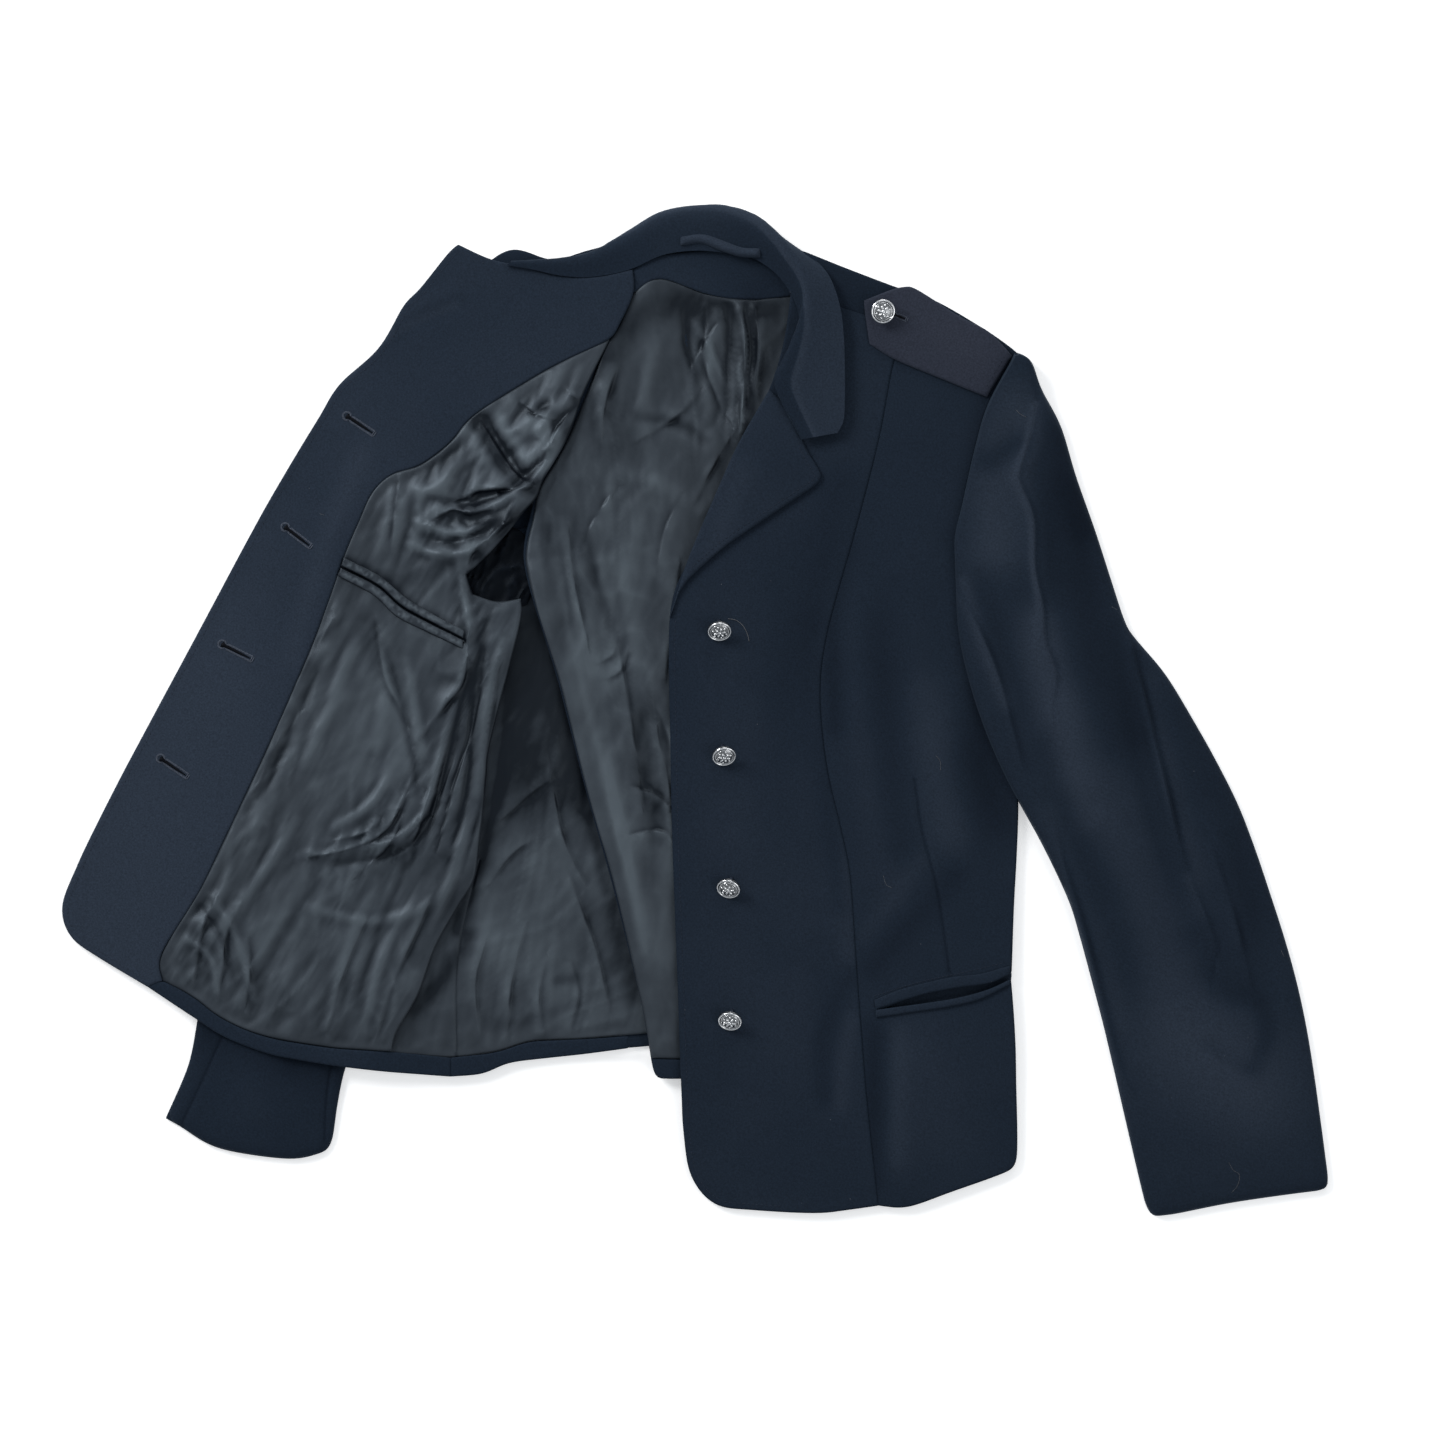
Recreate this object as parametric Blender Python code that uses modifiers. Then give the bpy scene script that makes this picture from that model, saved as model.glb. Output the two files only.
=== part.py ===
"""Dress uniform jacket, laid on its back on a flat surface with its right front turned open.

Every cloth piece is a thin wall. The pieces lie on each other in the order in which they were put down:
each layer follows one height field over a shared lattice, so that a layer never cuts the one below it.
Millimetres in the tables, metres in the model, +Z up, +Y towards the collar, +X towards the wearer's left
sleeve.
"""

import math
from collections import namedtuple

import bmesh
import bpy
import numpy as np
from mathutils import Matrix, Vector

# Driving dimensions, millimetres
SHELL = 2.0
SLEEVE_WALL = 2.2
FRONT_WALL = 2.6
FACING = 1.6
LINING = 1.1
COLLAR_WALL = 2.4
EPAULETTE_WALL = 2.6
WELT = 1.5
GAP = 0.35
SEAM = 0.3
FINE = 17.0
COARSE = 34.0
CURVE_STEP = 28.0
BUTTON_WIDTH = 16.0
BUTTON_DOME = 3.2
BUTTON_RIM = 1.2
BUTTON_SIDES = 16
SHANK_RADIUS = 2.0
SHANK_LENGTH = 5.0
BUTTON_TILT = 38.0
EPAULETTE_BUTTON_TILT = 12.0
EPAULETTE_BUTTON_TURN = 30.0
BODY_LOFT = 3.0
SLEEVE_LOFT = 3.2

MM = 0.001
HALF_X = 28
HALF_Y = 24
SPAN = 3
MITER_LIMIT = 0.6
FLAT_ANGLE = 5e-5

Finish = namedtuple("Finish", "colour roughness metallic")
WOOL = Finish((0.014, 0.018, 0.027), 0.85, 0.0)
SATIN = Finish((0.035, 0.045, 0.047), 0.38, 0.0)
SILVER = Finish((0.75, 0.75, 0.74), 0.25, 1.0)

# A fold is a soft ridge over a straight run: its ends, its half width and its height above the cloth
Fold = namedtuple("Fold", "x0 y0 x1 y1 width height")
# A panel: node name, the curves round it, wall thickness, finish, lattice, rounds of spanning over hollows,
# loft at its middle, reach of the loft from its edge, folds
Panel = namedtuple("Panel", "name curves thick finish grid span loft reach folds",
                   defaults=(COARSE, SPAN, 0.0, 40.0, ()))

# Where the buttons stand. Columns: x, y
FRONT_BUTTONS = [(16, 56), (19, -27), (22, -115), (23, -203)]
EPAULETTE_BUTTON = (124, 266)

# Curves of the pattern as it lies. Columns: x, y
CURVES = {
    # wearer's left front, right in the view from above
    "left_roll": [(64, 281), (59, 246), (49, 213), (30, 180), (11, 138), (-6, 97), (-17, 62)],
    "left_roll_lapel": [(49, 213), (30, 180), (11, 138), (-6, 97), (-17, 62)],
    "left_edge": [(-17, 62), (-16, -60), (-12, -176), (-8, -280), (-3, -310), (13, -329), (39, -333)],
    "left_hem": [(39, -333), (80, -335), (122, -330)],
    "left_side_hem": [(122, -330), (141, -331), (170, -321), (207, -307.5), (214, -300)],
    "left_side_low": [(214, -300), (213, -222), (210, -179)],
    "left_slit_low": [(210, -179), (195, -186), (175, -191.5), (154, -195), (124, -199)],
    "left_slit_high": [(124, -199), (150, -189), (175, -184), (196, -181), (210.5, -174)],
    "left_side_high": [(210.5, -174), (212, -131), (215, -64), (211, -20), (200, 30), (186, 72),
                       (174, 103)],
    "left_armhole": [(174, 103), (178, 135), (186, 172), (195, 203), (211, 233)],
    "left_shoulder_a": [(211, 233), (170, 247), (139, 256)],
    "left_shoulder_b": [(139, 256), (97, 268), (64, 281)],
    "left_princess": [(139, 256), (131, 228), (122, 180), (105, 114), (88, 53), (83, 8), (89, -46),
                      (102, -103), (108, -180), (114, -257), (122, -330)],
    "left_shoulder_edge": [(213, 238), (195, 251), (160, 271.5), (134, 280.5), (98, 294), (70, 305)],
    "left_lapel_edge": [(-17, 62), (-8, 83), (16, 106), (52, 131), (79, 149)],
    "left_lapel_tip": [(79, 149), (84, 152), (83.5, 157)],
    "left_lapel_top": [(83.5, 157), (72, 177)],
    "left_gorge": [(72, 177), (62, 200), (49, 213)],
    # collar
    "fall_roll": [(49, 213), (57, 228), (66, 253), (72, 275), (69, 290), (57, 311)],
    "fall_top": [(57, 311), (63, 314), (80, 300)],
    "fall_edge": [(80, 300), (94, 276), (98, 240), (99, 190)],
    "fall_tip": [(99, 190), (98.5, 185), (94, 182.5)],
    "fall_low": [(94, 182.5), (72, 177)],
    "roll_back": [(-96, 300), (-54, 312), (-27, 329), (-4, 335), (16, 336), (42, 328), (58, 314)],
    "stand_left_end": [(58, 314), (70, 299), (66, 284)],
    "stand_tip": [(-136, 300), (-121, 308), (-96, 300)],
    "neck_seam": [(66, 284), (43, 299), (14, 305.5), (-20, 303), (-33, 299), (-42, 293)],
    "right_gorge": [(-42, 293), (-59, 289), (-77, 288), (-95, 290), (-112, 295), (-136, 300)],
    "under_fall": [(58, 314), (62, 292), (24, 284), (-12, 282), (-52, 264), (-92, 254), (-118, 262),
                   (-136, 300)],
    "neck_facing_edge": [(-41, 278), (-24, 287.5), (8, 277), (34, 273.5), (66, 276)],
    "neck_facing_end": [(66, 276), (66, 284)],
    "right_shoulder_seam": [(-42, 293), (-41, 278)],
    # wearer's right front, turned open to the left of the view
    "right_lapel_top": [(-136, 300), (-158, 310)],
    "right_lapel_edge": [(-158, 310), (-164, 305), (-184, 280), (-194, 270), (-211, 241), (-237, 217)],
    "right_edge": [(-237, 217), (-250, 196), (-284, 139), (-332, 50), (-385, -49), (-412, -104),
                   (-422, -131), (-416, -151), (-397, -165), (-365, -184)],
    "right_hem": [(-365, -184), (-333, -205), (-313, -217.5), (-286, -228), (-244, -236), (-201, -241),
                  (-163, -244)],
    "right_side_hem": [(-163, -244), (-142, -242), (-124, -235), (-74, -229), (-45, -225)],
    "right_back_hem": [(-45, -225), (0, -221)],
    "facing_end": [(-365, -184), (-355, -180)],
    "facing_seam_low": [(-355, -180), (-356, -163), (-331, -122), (-290, -36), (-253, 49), (-233, 105),
                        (-215, 145)],
    "facing_seam_high": [(-215, 145), (-202, 157), (-183, 163), (-163, 178), (-151, 193), (-133, 206),
                         (-100, 226), (-57, 247)],
    "facing_seam_neck": [(-57, 247), (-51, 256), (-41, 278)],
    "right_front_back": [(-42, 293), (-52, 256), (-70, 220), (-85, 181), (-104, 149), (-128, 117)],
    "right_armhole": [(-128, 117), (-147, 97), (-142, 70)],
    "right_side_seam": [(-142, 70), (-146, 0), (-148, -100), (-160, -165), (-163, -244)],
    "back_side_seam": [(-45, -225), (-62, -120), (-85, -20), (-104, 60), (-128, 117)],
    "back_right_end": [(0, -221), (-12, -100), (-34, 20), (-62, 90), (-98, 126)],
    # back, left half, folded over the right half
    "back_fold": [(-114, 108), (-111, 84), (-93, 25), (-73, -53), (-54, -121), (-34, -204), (-28, -240),
                  (-23, -245.5)],
    "back_left_hem": [(-23, -245.5), (-6, -246), (42, -284), (100, -314), (160, -314), (206, -298)],
    "back_left_side": [(206, -298), (208, -180), (209, -64), (202, 0), (186, 60), (170, 100), (178, 160),
                       (205, 228)],
    "back_left_top": [(205, 228), (134, 268), (66, 295), (62, 286)],
    "back_left_neck": [(62, 286), (43, 297), (14, 303), (-20, 301), (-40, 291)],
    "back_left_join": [(-40, 291), (-54, 254), (-74, 216), (-90, 178), (-104, 152), (-114, 108)],
    # lining
    "lining_hem_front": [(-355, -180), (-334, -191), (-315, -205), (-286, -217), (-246, -224),
                         (-202, -227)],
    "valley": [(-202, -227), (-199, -214), (-184, -188), (-173, -157), (-157, -129), (-147, -112),
               (-141, -64), (-136, -20), (-126, 20), (-117, 56), (-116, 74)],
    "armhole_low": [(-116, 74), (-132, 72), (-148, 77), (-152, 90)],
    "front_puff": [(-152, 90), (-138, 103), (-119, 125), (-104, 149), (-85, 181), (-74, 212), (-57, 247)],
    "side_under": [(-130, 76), (-141, 10), (-152, -64), (-162, -116), (-190, -166), (-212, -214),
                   (-213, -227.6)],
    "lining_hem_side": [(-213, -227.6), (-163, -231), (-133, -227.5), (-112, -221), (-70, -218.5),
                        (-20, -214)],
    "side_end": [(-20, -214), (-40, -115), (-60, -47), (-78, 12), (-94, 62), (-102, 88), (-130, 76)],
    "lining_fold": [(-112, 106), (-109, 84), (-91, 25), (-71, -53), (-52, -121), (-33, -204), (-29, -231)],
    "lining_hem_back": [(-29, -231), (14, -233)],
    "lining_back_end": [(14, -233), (16, -120), (22, 0), (44, 120), (62, 200), (66, 276)],
    "lining_back_join": [(-41, 278), (-51, 256), (-59, 243), (-72, 212), (-86, 178), (-100, 152),
                         (-112, 106)],
    "armhole_ring": [(-156, 92), (-151, 72), (-134, 64), (-112, 70), (-104, 92), (-113, 116), (-132, 126),
                     (-151, 114), (-156, 92)],
    "hem_front_top": [(-355, -180.5), (-334, -191.5), (-315, -205.5), (-286, -217.5), (-246, -224.5),
                      (-202, -227.5)],
    "hem_front_end": [(-202, -227.5), (-163, -231.5), (-163, -244)],
    "hem_side_top": [(-45, -217), (-70, -219), (-112, -221.5), (-133, -228), (-163, -231.5)],
    "hem_back_ring": [(-28.6, -232), (-28, -240), (-23, -245), (-8, -245.4), (-8, -233)],
    # wearer's left sleeve, which lies beside the body
    "sleeve_outer": [(213, 238), (223, 233), (230, 214), (243, 189), (253, 156), (266, 119), (286, 58),
                     (293, 47), (313, 23), (333, -10), (361, -63), (382, -121), (398, -173), (408, -219),
                     (416, -273), (422, -319)],
    "sleeve_cuff": [(422, -319), (397, -322), (356, -328), (318, -335.5), (306, -336.5), (301, -331)],
    "sleeve_inner": [(301, -331), (289, -280), (272, -208), (262, -170), (249, -126), (232, -90),
                     (209, -48), (195, -17), (184, 15), (176, 50), (174, 83), (174, 103)],
    "sleeve_head": [(211, 233), (213, 238)],
    # wearer's right sleeve, under the opened front
    "under_sleeve_ring": [(-353, -272), (-338, -237), (-332, -207), (-324, -150), (-302, -60), (-268, 40),
                          (-238, 110), (-204, 160), (-160, 178), (-120, 160), (-104, 112), (-122, 20),
                          (-160, -90), (-206, -176), (-233, -237), (-242, -286)],
    "under_sleeve_cuff": [(-242, -286), (-246, -294), (-268, -299), (-304, -295), (-325, -289),
                          (-343, -277.5), (-353, -272)],
    # epaulette, from its point by the collar to the sleeve head
    "epaulette_low": [(112.5, 268), (116, 244), (132, 234), (194, 208.5)],
    "epaulette_high": [(210.5, 236), (195, 252), (177, 261), (160, 272), (143, 282), (134, 281),
                       (112.5, 272.5)],
    # hip pocket
    "welt_high_top": [(119, -193), (138, -185.5), (169, -178), (190, -175.5), (209.5, -170)],
    "welt_high_low": [(209, -175.5), (196, -181.5), (175, -184.5), (152, -189), (120, -199)],
    "welt_low_top": [(120, -199.6), (150, -195.5), (175, -191.5), (195, -186), (209, -179.5)],
    "welt_low_low": [(209, -182.5), (190, -192), (170, -197), (144, -201), (120, -204.5)],
    "bag_ring": [(128, -176), (160, -166), (202, -164), (203, -222), (134, -226)],
    # inside pocket
    "inner_high_top": [(-234, 102), (-209, 89), (-192, 75), (-172, 63), (-153, 53)],
    "inner_high_low": [(-154, 47.5), (-174, 57.5), (-195, 69), (-211, 83), (-236, 96)],
    "inner_low_top": [(-236, 95), (-211, 82), (-195, 68), (-174, 56.5), (-154, 46.5)],
    "inner_low_low": [(-154, 40), (-178, 51.5), (-199, 62), (-214, 76), (-238, 89)],
    # hanger loop, seen as a flat strip that stands off the facing in its middle
    "loop_top": [(-10, 315), (5, 317), (19, 312), (31, 307.5), (43, 307)],
    "loop_low": [(43, 301), (30, 301.5), (17, 305.5), (4, 310.5), (-10, 309)],
}


def spline(rows):
    """A smooth curve through the rows, with a point about every CURVE_STEP."""
    points = [np.array(row, float) for row in rows]
    if len(points) == 2:
        return points
    padded = [2 * points[0] - points[1]] + points + [2 * points[-1] - points[-2]]
    out = []
    for a, b, c, d in zip(padded, padded[1:], padded[2:], padded[3:]):
        steps = max(1, round(np.linalg.norm(c - b) / CURVE_STEP))
        for k in range(steps):
            t = k / steps
            out.append(0.5 * (2 * b + (c - a) * t + (2 * a - 5 * b + 4 * c - d) * t**2
                              + (3 * b - a - 3 * c + d) * t**3))
    return out + [points[-1]]


def outline(curves):
    """The closed outline that the named curves make, counter-clockwise; a minus sign turns a curve round."""
    points = []
    for name in curves:
        run = spline(CURVES[name.lstrip("-")])
        if name.startswith("-"):
            run.reverse()
        for point in run:
            if not points or np.linalg.norm(point - points[-1]) > SEAM:
                points.append(point)
    if np.linalg.norm(points[0] - points[-1]) <= SEAM:
        points.pop()
    area = sum(a[0] * b[1] - a[1] * b[0] for a, b in zip(points, points[1:] + points[:1]))
    return np.array(points if area > 0 else points[::-1])


def inset(points, distance):
    """The outline moved inwards, so that neighbours stay a seam apart."""
    before = points - np.roll(points, 1, axis=0)
    after = np.roll(points, -1, axis=0) - points
    normals = [np.stack([-d[:, 1], d[:, 0]], 1) / np.linalg.norm(d, axis=1)[:, None] for d in (before, after)]
    miter = normals[0] + normals[1]
    length = np.maximum(np.linalg.norm(miter, axis=1), MITER_LIMIT)[:, None]
    return points + miter / length**2 * 2 * distance


XS = np.arange(-HALF_X, HALF_X + 1) * FINE
YS = np.arange(-HALF_Y, HALF_Y + 1) * FINE
NODE_X, NODE_Y = np.meshgrid(XS, YS, indexing="ij")


def reach_inside(points):
    """For every lattice point, how far it lies inside the outline, and 0 outside."""
    ends = np.roll(points, -1, axis=0)
    distance = np.full(NODE_X.shape, np.inf)
    crossings = np.zeros(NODE_X.shape, int)
    for a, b in zip(points, ends):
        distance = np.minimum(distance, from_segment(a, b))
        if a[1] != b[1]:
            between = (a[1] > NODE_Y) != (b[1] > NODE_Y)
            at = a[0] + (NODE_Y - a[1]) * (b[0] - a[0]) / (b[1] - a[1])
            crossings += between & (NODE_X < at)
    return np.where(crossings % 2 == 1, distance, 0.0)


def from_segment(a, b):
    """The distance of every lattice point from the segment a to b."""
    run = b - a
    t = ((NODE_X - a[0]) * run[0] + (NODE_Y - a[1]) * run[1]) / max(run @ run, 1e-9)
    t = np.clip(t, 0, 1)
    return np.hypot(NODE_X - a[0] - t * run[0], NODE_Y - a[1] - t * run[1])


def height(field, x, y):
    """The field at a place, on the triangles that the lattice is split into."""
    u = x / FINE + HALF_X
    v = y / FINE + HALF_Y
    i = int(min(max(math.floor(u), 0), 2 * HALF_X - 1))
    j = int(min(max(math.floor(v), 0), 2 * HALF_Y - 1))
    u -= i
    v -= j
    low, high = field[i, j], field[i + 1, j + 1]
    if u >= v:
        side = field[i + 1, j]
        return low + (side - low) * u + (high - side) * v
    side = field[i, j + 1]
    return low + (side - low) * v + (high - side) * u


def coarsen(field):
    """The field on the coarse lattice, nowhere lower than it was, written back at the fine points."""
    wide = field.copy()
    step = round(COARSE / FINE)
    for di in range(1 - step, step):
        for dj in range(1 - step, step):
            if abs(di - dj) < step:
                wide = np.maximum(wide, np.roll(field, (di, dj), (0, 1)))
    return refill(wide, step)


def refill(field, step):
    """Straight runs between every step-th point of the field."""
    start_i, start_j = HALF_X % step, HALF_Y % step
    out = field.copy()
    for i in range(field.shape[0]):
        for j in range(field.shape[1]):
            a = (i - start_i) % step
            b = (j - start_j) % step
            if a == b == 0:
                continue
            i0, j0 = i - a, j - b
            i1, j1 = i0 + step, j0 + step
            if min(i0, j0) < 0 or i1 >= field.shape[0] or j1 >= field.shape[1]:
                continue
            if a >= b:
                out[i, j] = field[i0, j0] + ((field[i1, j0] - field[i0, j0]) * a
                                             + (field[i1, j1] - field[i1, j0]) * b) / step
            else:
                out[i, j] = field[i0, j0] + ((field[i0, j1] - field[i0, j0]) * b
                                             + (field[i1, j1] - field[i0, j1]) * a) / step
    return out


def relax(field, rounds):
    """Cloth spans the hollows it lies over: each point is raised towards the mean round it."""
    for _ in range(rounds):
        ring = sum(np.roll(field, shift, (0, 1)) for shift in ((1, 0), (-1, 0), (0, 1), (0, -1)))
        field = np.maximum(field, ring / 4)
    return field


def flat_face(points):
    """The flat panel as one face."""
    bm = bmesh.new()
    bm.faces.new([bm.verts.new((x, y, 0.0)) for x, y in points])
    return bm


def cut_flat(points, spacing):
    """The flat panel, cut along the lattice lines."""
    bm = flat_face(points)
    spans = ((Vector((1, 0, 0)), points[:, 0]), (Vector((0, 1, 0)), points[:, 1]),
             (Vector((1, -1, 0)), points[:, 0] - points[:, 1]))
    for normal, values in spans:
        for k in range(math.ceil(values.min() / spacing), math.floor(values.max() / spacing) + 1):
            place = Vector((k * spacing, 0, 0)) if normal.x else Vector((0, k * spacing, 0))
            bmesh.ops.bisect_plane(bm, geom=bm.verts[:] + bm.edges[:] + bm.faces[:], dist=1e-4,
                                   plane_co=place, plane_no=normal)
    return bm


def covered(bm, spacing):
    """The fine lattice points of every lattice triangle that the cut panel touches."""
    mask = np.zeros(NODE_X.shape, bool)
    step = round(spacing / FINE)
    for face in bm.faces:
        x, y, _ = face.calc_center_median()
        i = math.floor(x / spacing)
        j = math.floor(y / spacing)
        lower = x / spacing - i >= y / spacing - j
        for a in range(step + 1):
            for b in range(step + 1):
                if (a >= b) if lower else (b >= a):
                    mask[i * step + a + HALF_X, j * step + b + HALF_Y] = True
    return mask


def material(name, finish):
    mat = bpy.data.materials.new(name)
    mat.use_nodes = True
    shader = mat.node_tree.nodes["Principled BSDF"]
    shader.inputs["Base Color"].default_value = (*finish.colour, 1.0)
    shader.inputs["Roughness"].default_value = finish.roughness
    shader.inputs["Metallic"].default_value = finish.metallic
    return mat


def add_object(name, bm, finish):
    """The mesh in millimetres becomes a named object in metres."""
    bmesh.ops.scale(bm, vec=(MM, MM, MM), verts=bm.verts)
    mesh = bpy.data.meshes.new(name)
    bm.to_mesh(mesh)
    bm.free()
    mesh.materials.append(material(name, finish))
    obj = bpy.data.objects.new(name, mesh)
    GARMENT.objects.link(obj)
    return obj


def thicken(bm, thick):
    """A wall of the given thickness, measured straight up, on the open sheet."""
    made = bmesh.ops.extrude_face_region(bm, geom=bm.faces[:] + bm.edges[:] + bm.verts[:], use_keep_orig=True)
    lifted = [item for item in made["geom"] if isinstance(item, bmesh.types.BMVert)]
    bmesh.ops.translate(bm, vec=(0, 0, thick), verts=lifted)
    bmesh.ops.recalc_face_normals(bm, faces=bm.faces[:])


TOP = np.zeros(NODE_X.shape)
TOPS = {}


def lay(*panels):
    """Puts a layer of panels down on all that lies there, and raises the stack by them."""
    support = np.where(TOP > 0, TOP + GAP, 0.0)
    made = []
    for panel in panels:
        points = inset(outline(panel.curves), SEAM / 2)
        inside = reach_inside(points)
        rise = panel.loft * (1 - np.exp(-inside / panel.reach))
        for fold in panel.folds:
            away = from_segment(np.array(fold[:2], float), np.array(fold[2:4], float))
            rise = rise + fold.height * np.exp(-((away / fold.width) ** 2))
        if panel.grid == COARSE:
            field = relax(coarsen(support), panel.span) + rise
            field = refill(field, round(COARSE / FINE))
        else:
            field = relax(support, panel.span) + rise
        bm = cut_flat(points, panel.grid)
        mask = covered(bm, panel.grid)
        if not field[mask].any():
            bm.free()
            bm = flat_face(points)
        for vert in bm.verts:
            vert.co.z = height(field, vert.co.x, vert.co.y)
        bmesh.ops.dissolve_limit(bm, angle_limit=FLAT_ANGLE, verts=bm.verts[:], edges=bm.edges[:])
        thicken(bm, panel.thick)
        add_object(panel.name, bm, panel.finish)
        TOPS[panel.name] = field + panel.thick
        made.append((mask, TOPS[panel.name]))
    for mask, top in made:
        TOP[mask] = np.maximum(TOP[mask], top[mask])


def button(name, x, y, tilt, turn, cloth):
    """A domed button on a shank: one turned profile, tipped over and let down until it meets the cloth."""
    radius = BUTTON_WIDTH / 2
    back = SHANK_LENGTH
    profile = [(0.0, back + BUTTON_RIM + BUTTON_DOME),
               (0.45 * radius, back + BUTTON_RIM + 0.85 * BUTTON_DOME),
               (0.8 * radius, back + BUTTON_RIM + 0.4 * BUTTON_DOME), (radius, back + BUTTON_RIM),
               (radius, back), (SHANK_RADIUS, back - 0.4), (SHANK_RADIUS, 0.0), (0.0, 0.0)]
    mesh = bpy.data.meshes.new(name)
    runs = [(k, k + 1) for k in range(len(profile) - 1)]
    mesh.from_pydata([(r * MM, 0.0, z * MM) for r, z in profile], runs, [])
    obj = bpy.data.objects.new(name, mesh)
    GARMENT.objects.link(obj)
    mesh.materials.append(material(name, SILVER))
    turned = obj.modifiers.new("turned", "SCREW")
    turned.steps = turned.render_steps = BUTTON_SIDES
    turned.use_merge_vertices = True
    turned.merge_threshold = 0.00001
    tip = Matrix.Rotation(math.radians(turn), 4, "Z") @ Matrix.Rotation(math.radians(tilt), 4, "X")
    samples = [tip @ Vector((r * math.cos(a), r * math.sin(a), z))
               for r, z in profile for a in np.linspace(0, 2 * math.pi, BUTTON_SIDES * 2)]
    foot = max(height(TOPS[cloth], x + p.x, y + p.y) - p.z for p in samples) + GAP
    obj.matrix_world = Matrix.Translation((x * MM, y * MM, foot * MM)) @ tip


for old in list(bpy.data.objects):
    bpy.data.objects.remove(old)
GARMENT = bpy.data.collections.new("dress_uniform_jacket")
bpy.context.scene.collection.children.link(GARMENT)

# Right sleeve and the collar's folded-under fall, which lie on the surface
RIGHT_SLEEVE = ["under_sleeve_ring", "under_sleeve_cuff"]
lay(Panel("right_sleeve_under", RIGHT_SLEEVE, SLEEVE_WALL, WOOL),
    Panel("collar_fall_right", ["stand_tip", "roll_back", "under_fall"], COLLAR_WALL, WOOL))
lay(Panel("right_sleeve_upper", RIGHT_SLEEVE, SLEEVE_WALL, WOOL, COARSE, SPAN, SLEEVE_LOFT, 30.0))

# Right front, side and back shell, inside up
lay(Panel("right_front", ["right_front_back", "right_armhole", "right_side_seam", "-right_hem", "-right_edge",
                          "-right_lapel_edge", "-right_lapel_top", "-right_gorge"], SHELL, WOOL),
    Panel("right_side", ["right_side_hem", "back_side_seam", "right_armhole", "right_side_seam"], SHELL,
          WOOL),
    Panel("back_right", ["right_back_hem", "back_right_end", "-back_side_seam"], SHELL, WOOL))

# Lining of the side, which lies lowest, and of the sleeve where it leaves the armhole
lay(Panel("lining_side", ["side_under", "lining_hem_side", "side_end"], LINING, SATIN, FINE, SPAN, 0.6, 20.0,
          [Fold(-120, 60, -134, -60, 14, 2.2), Fold(-100, -20, -84, -150, 15, 2.6),
           Fold(-150, -170, -160, -220, 14, 2.0)]))
lay(Panel("sleeve_lining", ["armhole_ring"], LINING, SATIN, FINE))

# Left back, folded over the right half, with the back lining, the neck facing and its hem
lay(Panel("back_left", ["back_fold", "back_left_hem", "back_left_side", "back_left_top", "back_left_neck",
                        "back_left_join"], SHELL, WOOL))
lay(Panel("lining_back", ["lining_fold", "lining_hem_back", "lining_back_end", "-neck_facing_edge",
                          "lining_back_join"], LINING, SATIN, FINE, SPAN, 0.5, 20.0,
          [Fold(-108, 80, -62, -80, 14, 4.0), Fold(-60, -90, -31, -220, 14, 4.0),
           Fold(31, 268, 30, 190, 14, 3.0), Fold(-40, 120, -30, -40, 16, 2.4),
           Fold(-10, 200, -20, 60, 15, 2.0), Fold(-30, -60, -14, -190, 15, 2.2)]),
    Panel("neck_facing", ["neck_seam", "right_shoulder_seam", "neck_facing_edge", "neck_facing_end"], FACING,
          WOOL, FINE),
    Panel("hem_back", ["hem_back_ring"], FACING, WOOL, FINE))

# Facing, lining and hem of the opened front, and the collar stand
lay(Panel("right_facing", ["right_gorge", "right_lapel_top", "right_lapel_edge", "right_edge", "facing_end",
                           "facing_seam_low", "facing_seam_high", "facing_seam_neck", "-right_shoulder_seam"],
          FACING, WOOL),
    Panel("lining_front", ["facing_seam_high", "-front_puff", "-armhole_low", "-valley", "-lining_hem_front",
                           "facing_seam_low"], LINING, SATIN, FINE, SPAN, 1.5, 18.0,
          [Fold(-128, 50, -140, -40, 14, 3.5), Fold(-143, -70, -160, -120, 14, 4.0),
           Fold(-176, -150, -198, -210, 14, 4.0), Fold(-100, 160, -78, 205, 14, 4.0),
           Fold(-140, 112, -112, 146, 14, 4.5), Fold(-176, 150, -130, 190, 15, 3.0),
           Fold(-200, 130, -160, 100, 15, 3.2), Fold(-160, 90, -155, 30, 14, 3.0),
           Fold(-230, -90, -186, -74, 14, 3.0), Fold(-186, -74, -160, 0, 14, 3.2),
           Fold(-290, -60, -318, -140, 15, 1.8), Fold(-250, -130, -210, -190, 15, 2.2)]),
    Panel("hem_right_front", ["hem_front_top", "hem_front_end", "-right_hem"], FACING, WOOL, FINE),
    Panel("hem_right_side", ["right_side_hem", "hem_side_top"], FACING, WOOL, FINE),
    Panel("collar_stand", ["stand_tip", "roll_back", "stand_left_end", "neck_seam", "right_gorge"],
          COLLAR_WALL, WOOL, FINE, SPAN, 1.5, 12.0))
lay(Panel("inside_welt_upper", ["inner_high_top", "inner_high_low"], WELT, SATIN, FINE, 0),
    Panel("inside_welt_lower", ["inner_low_top", "inner_low_low"], WELT, SATIN, FINE, 0))

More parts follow.
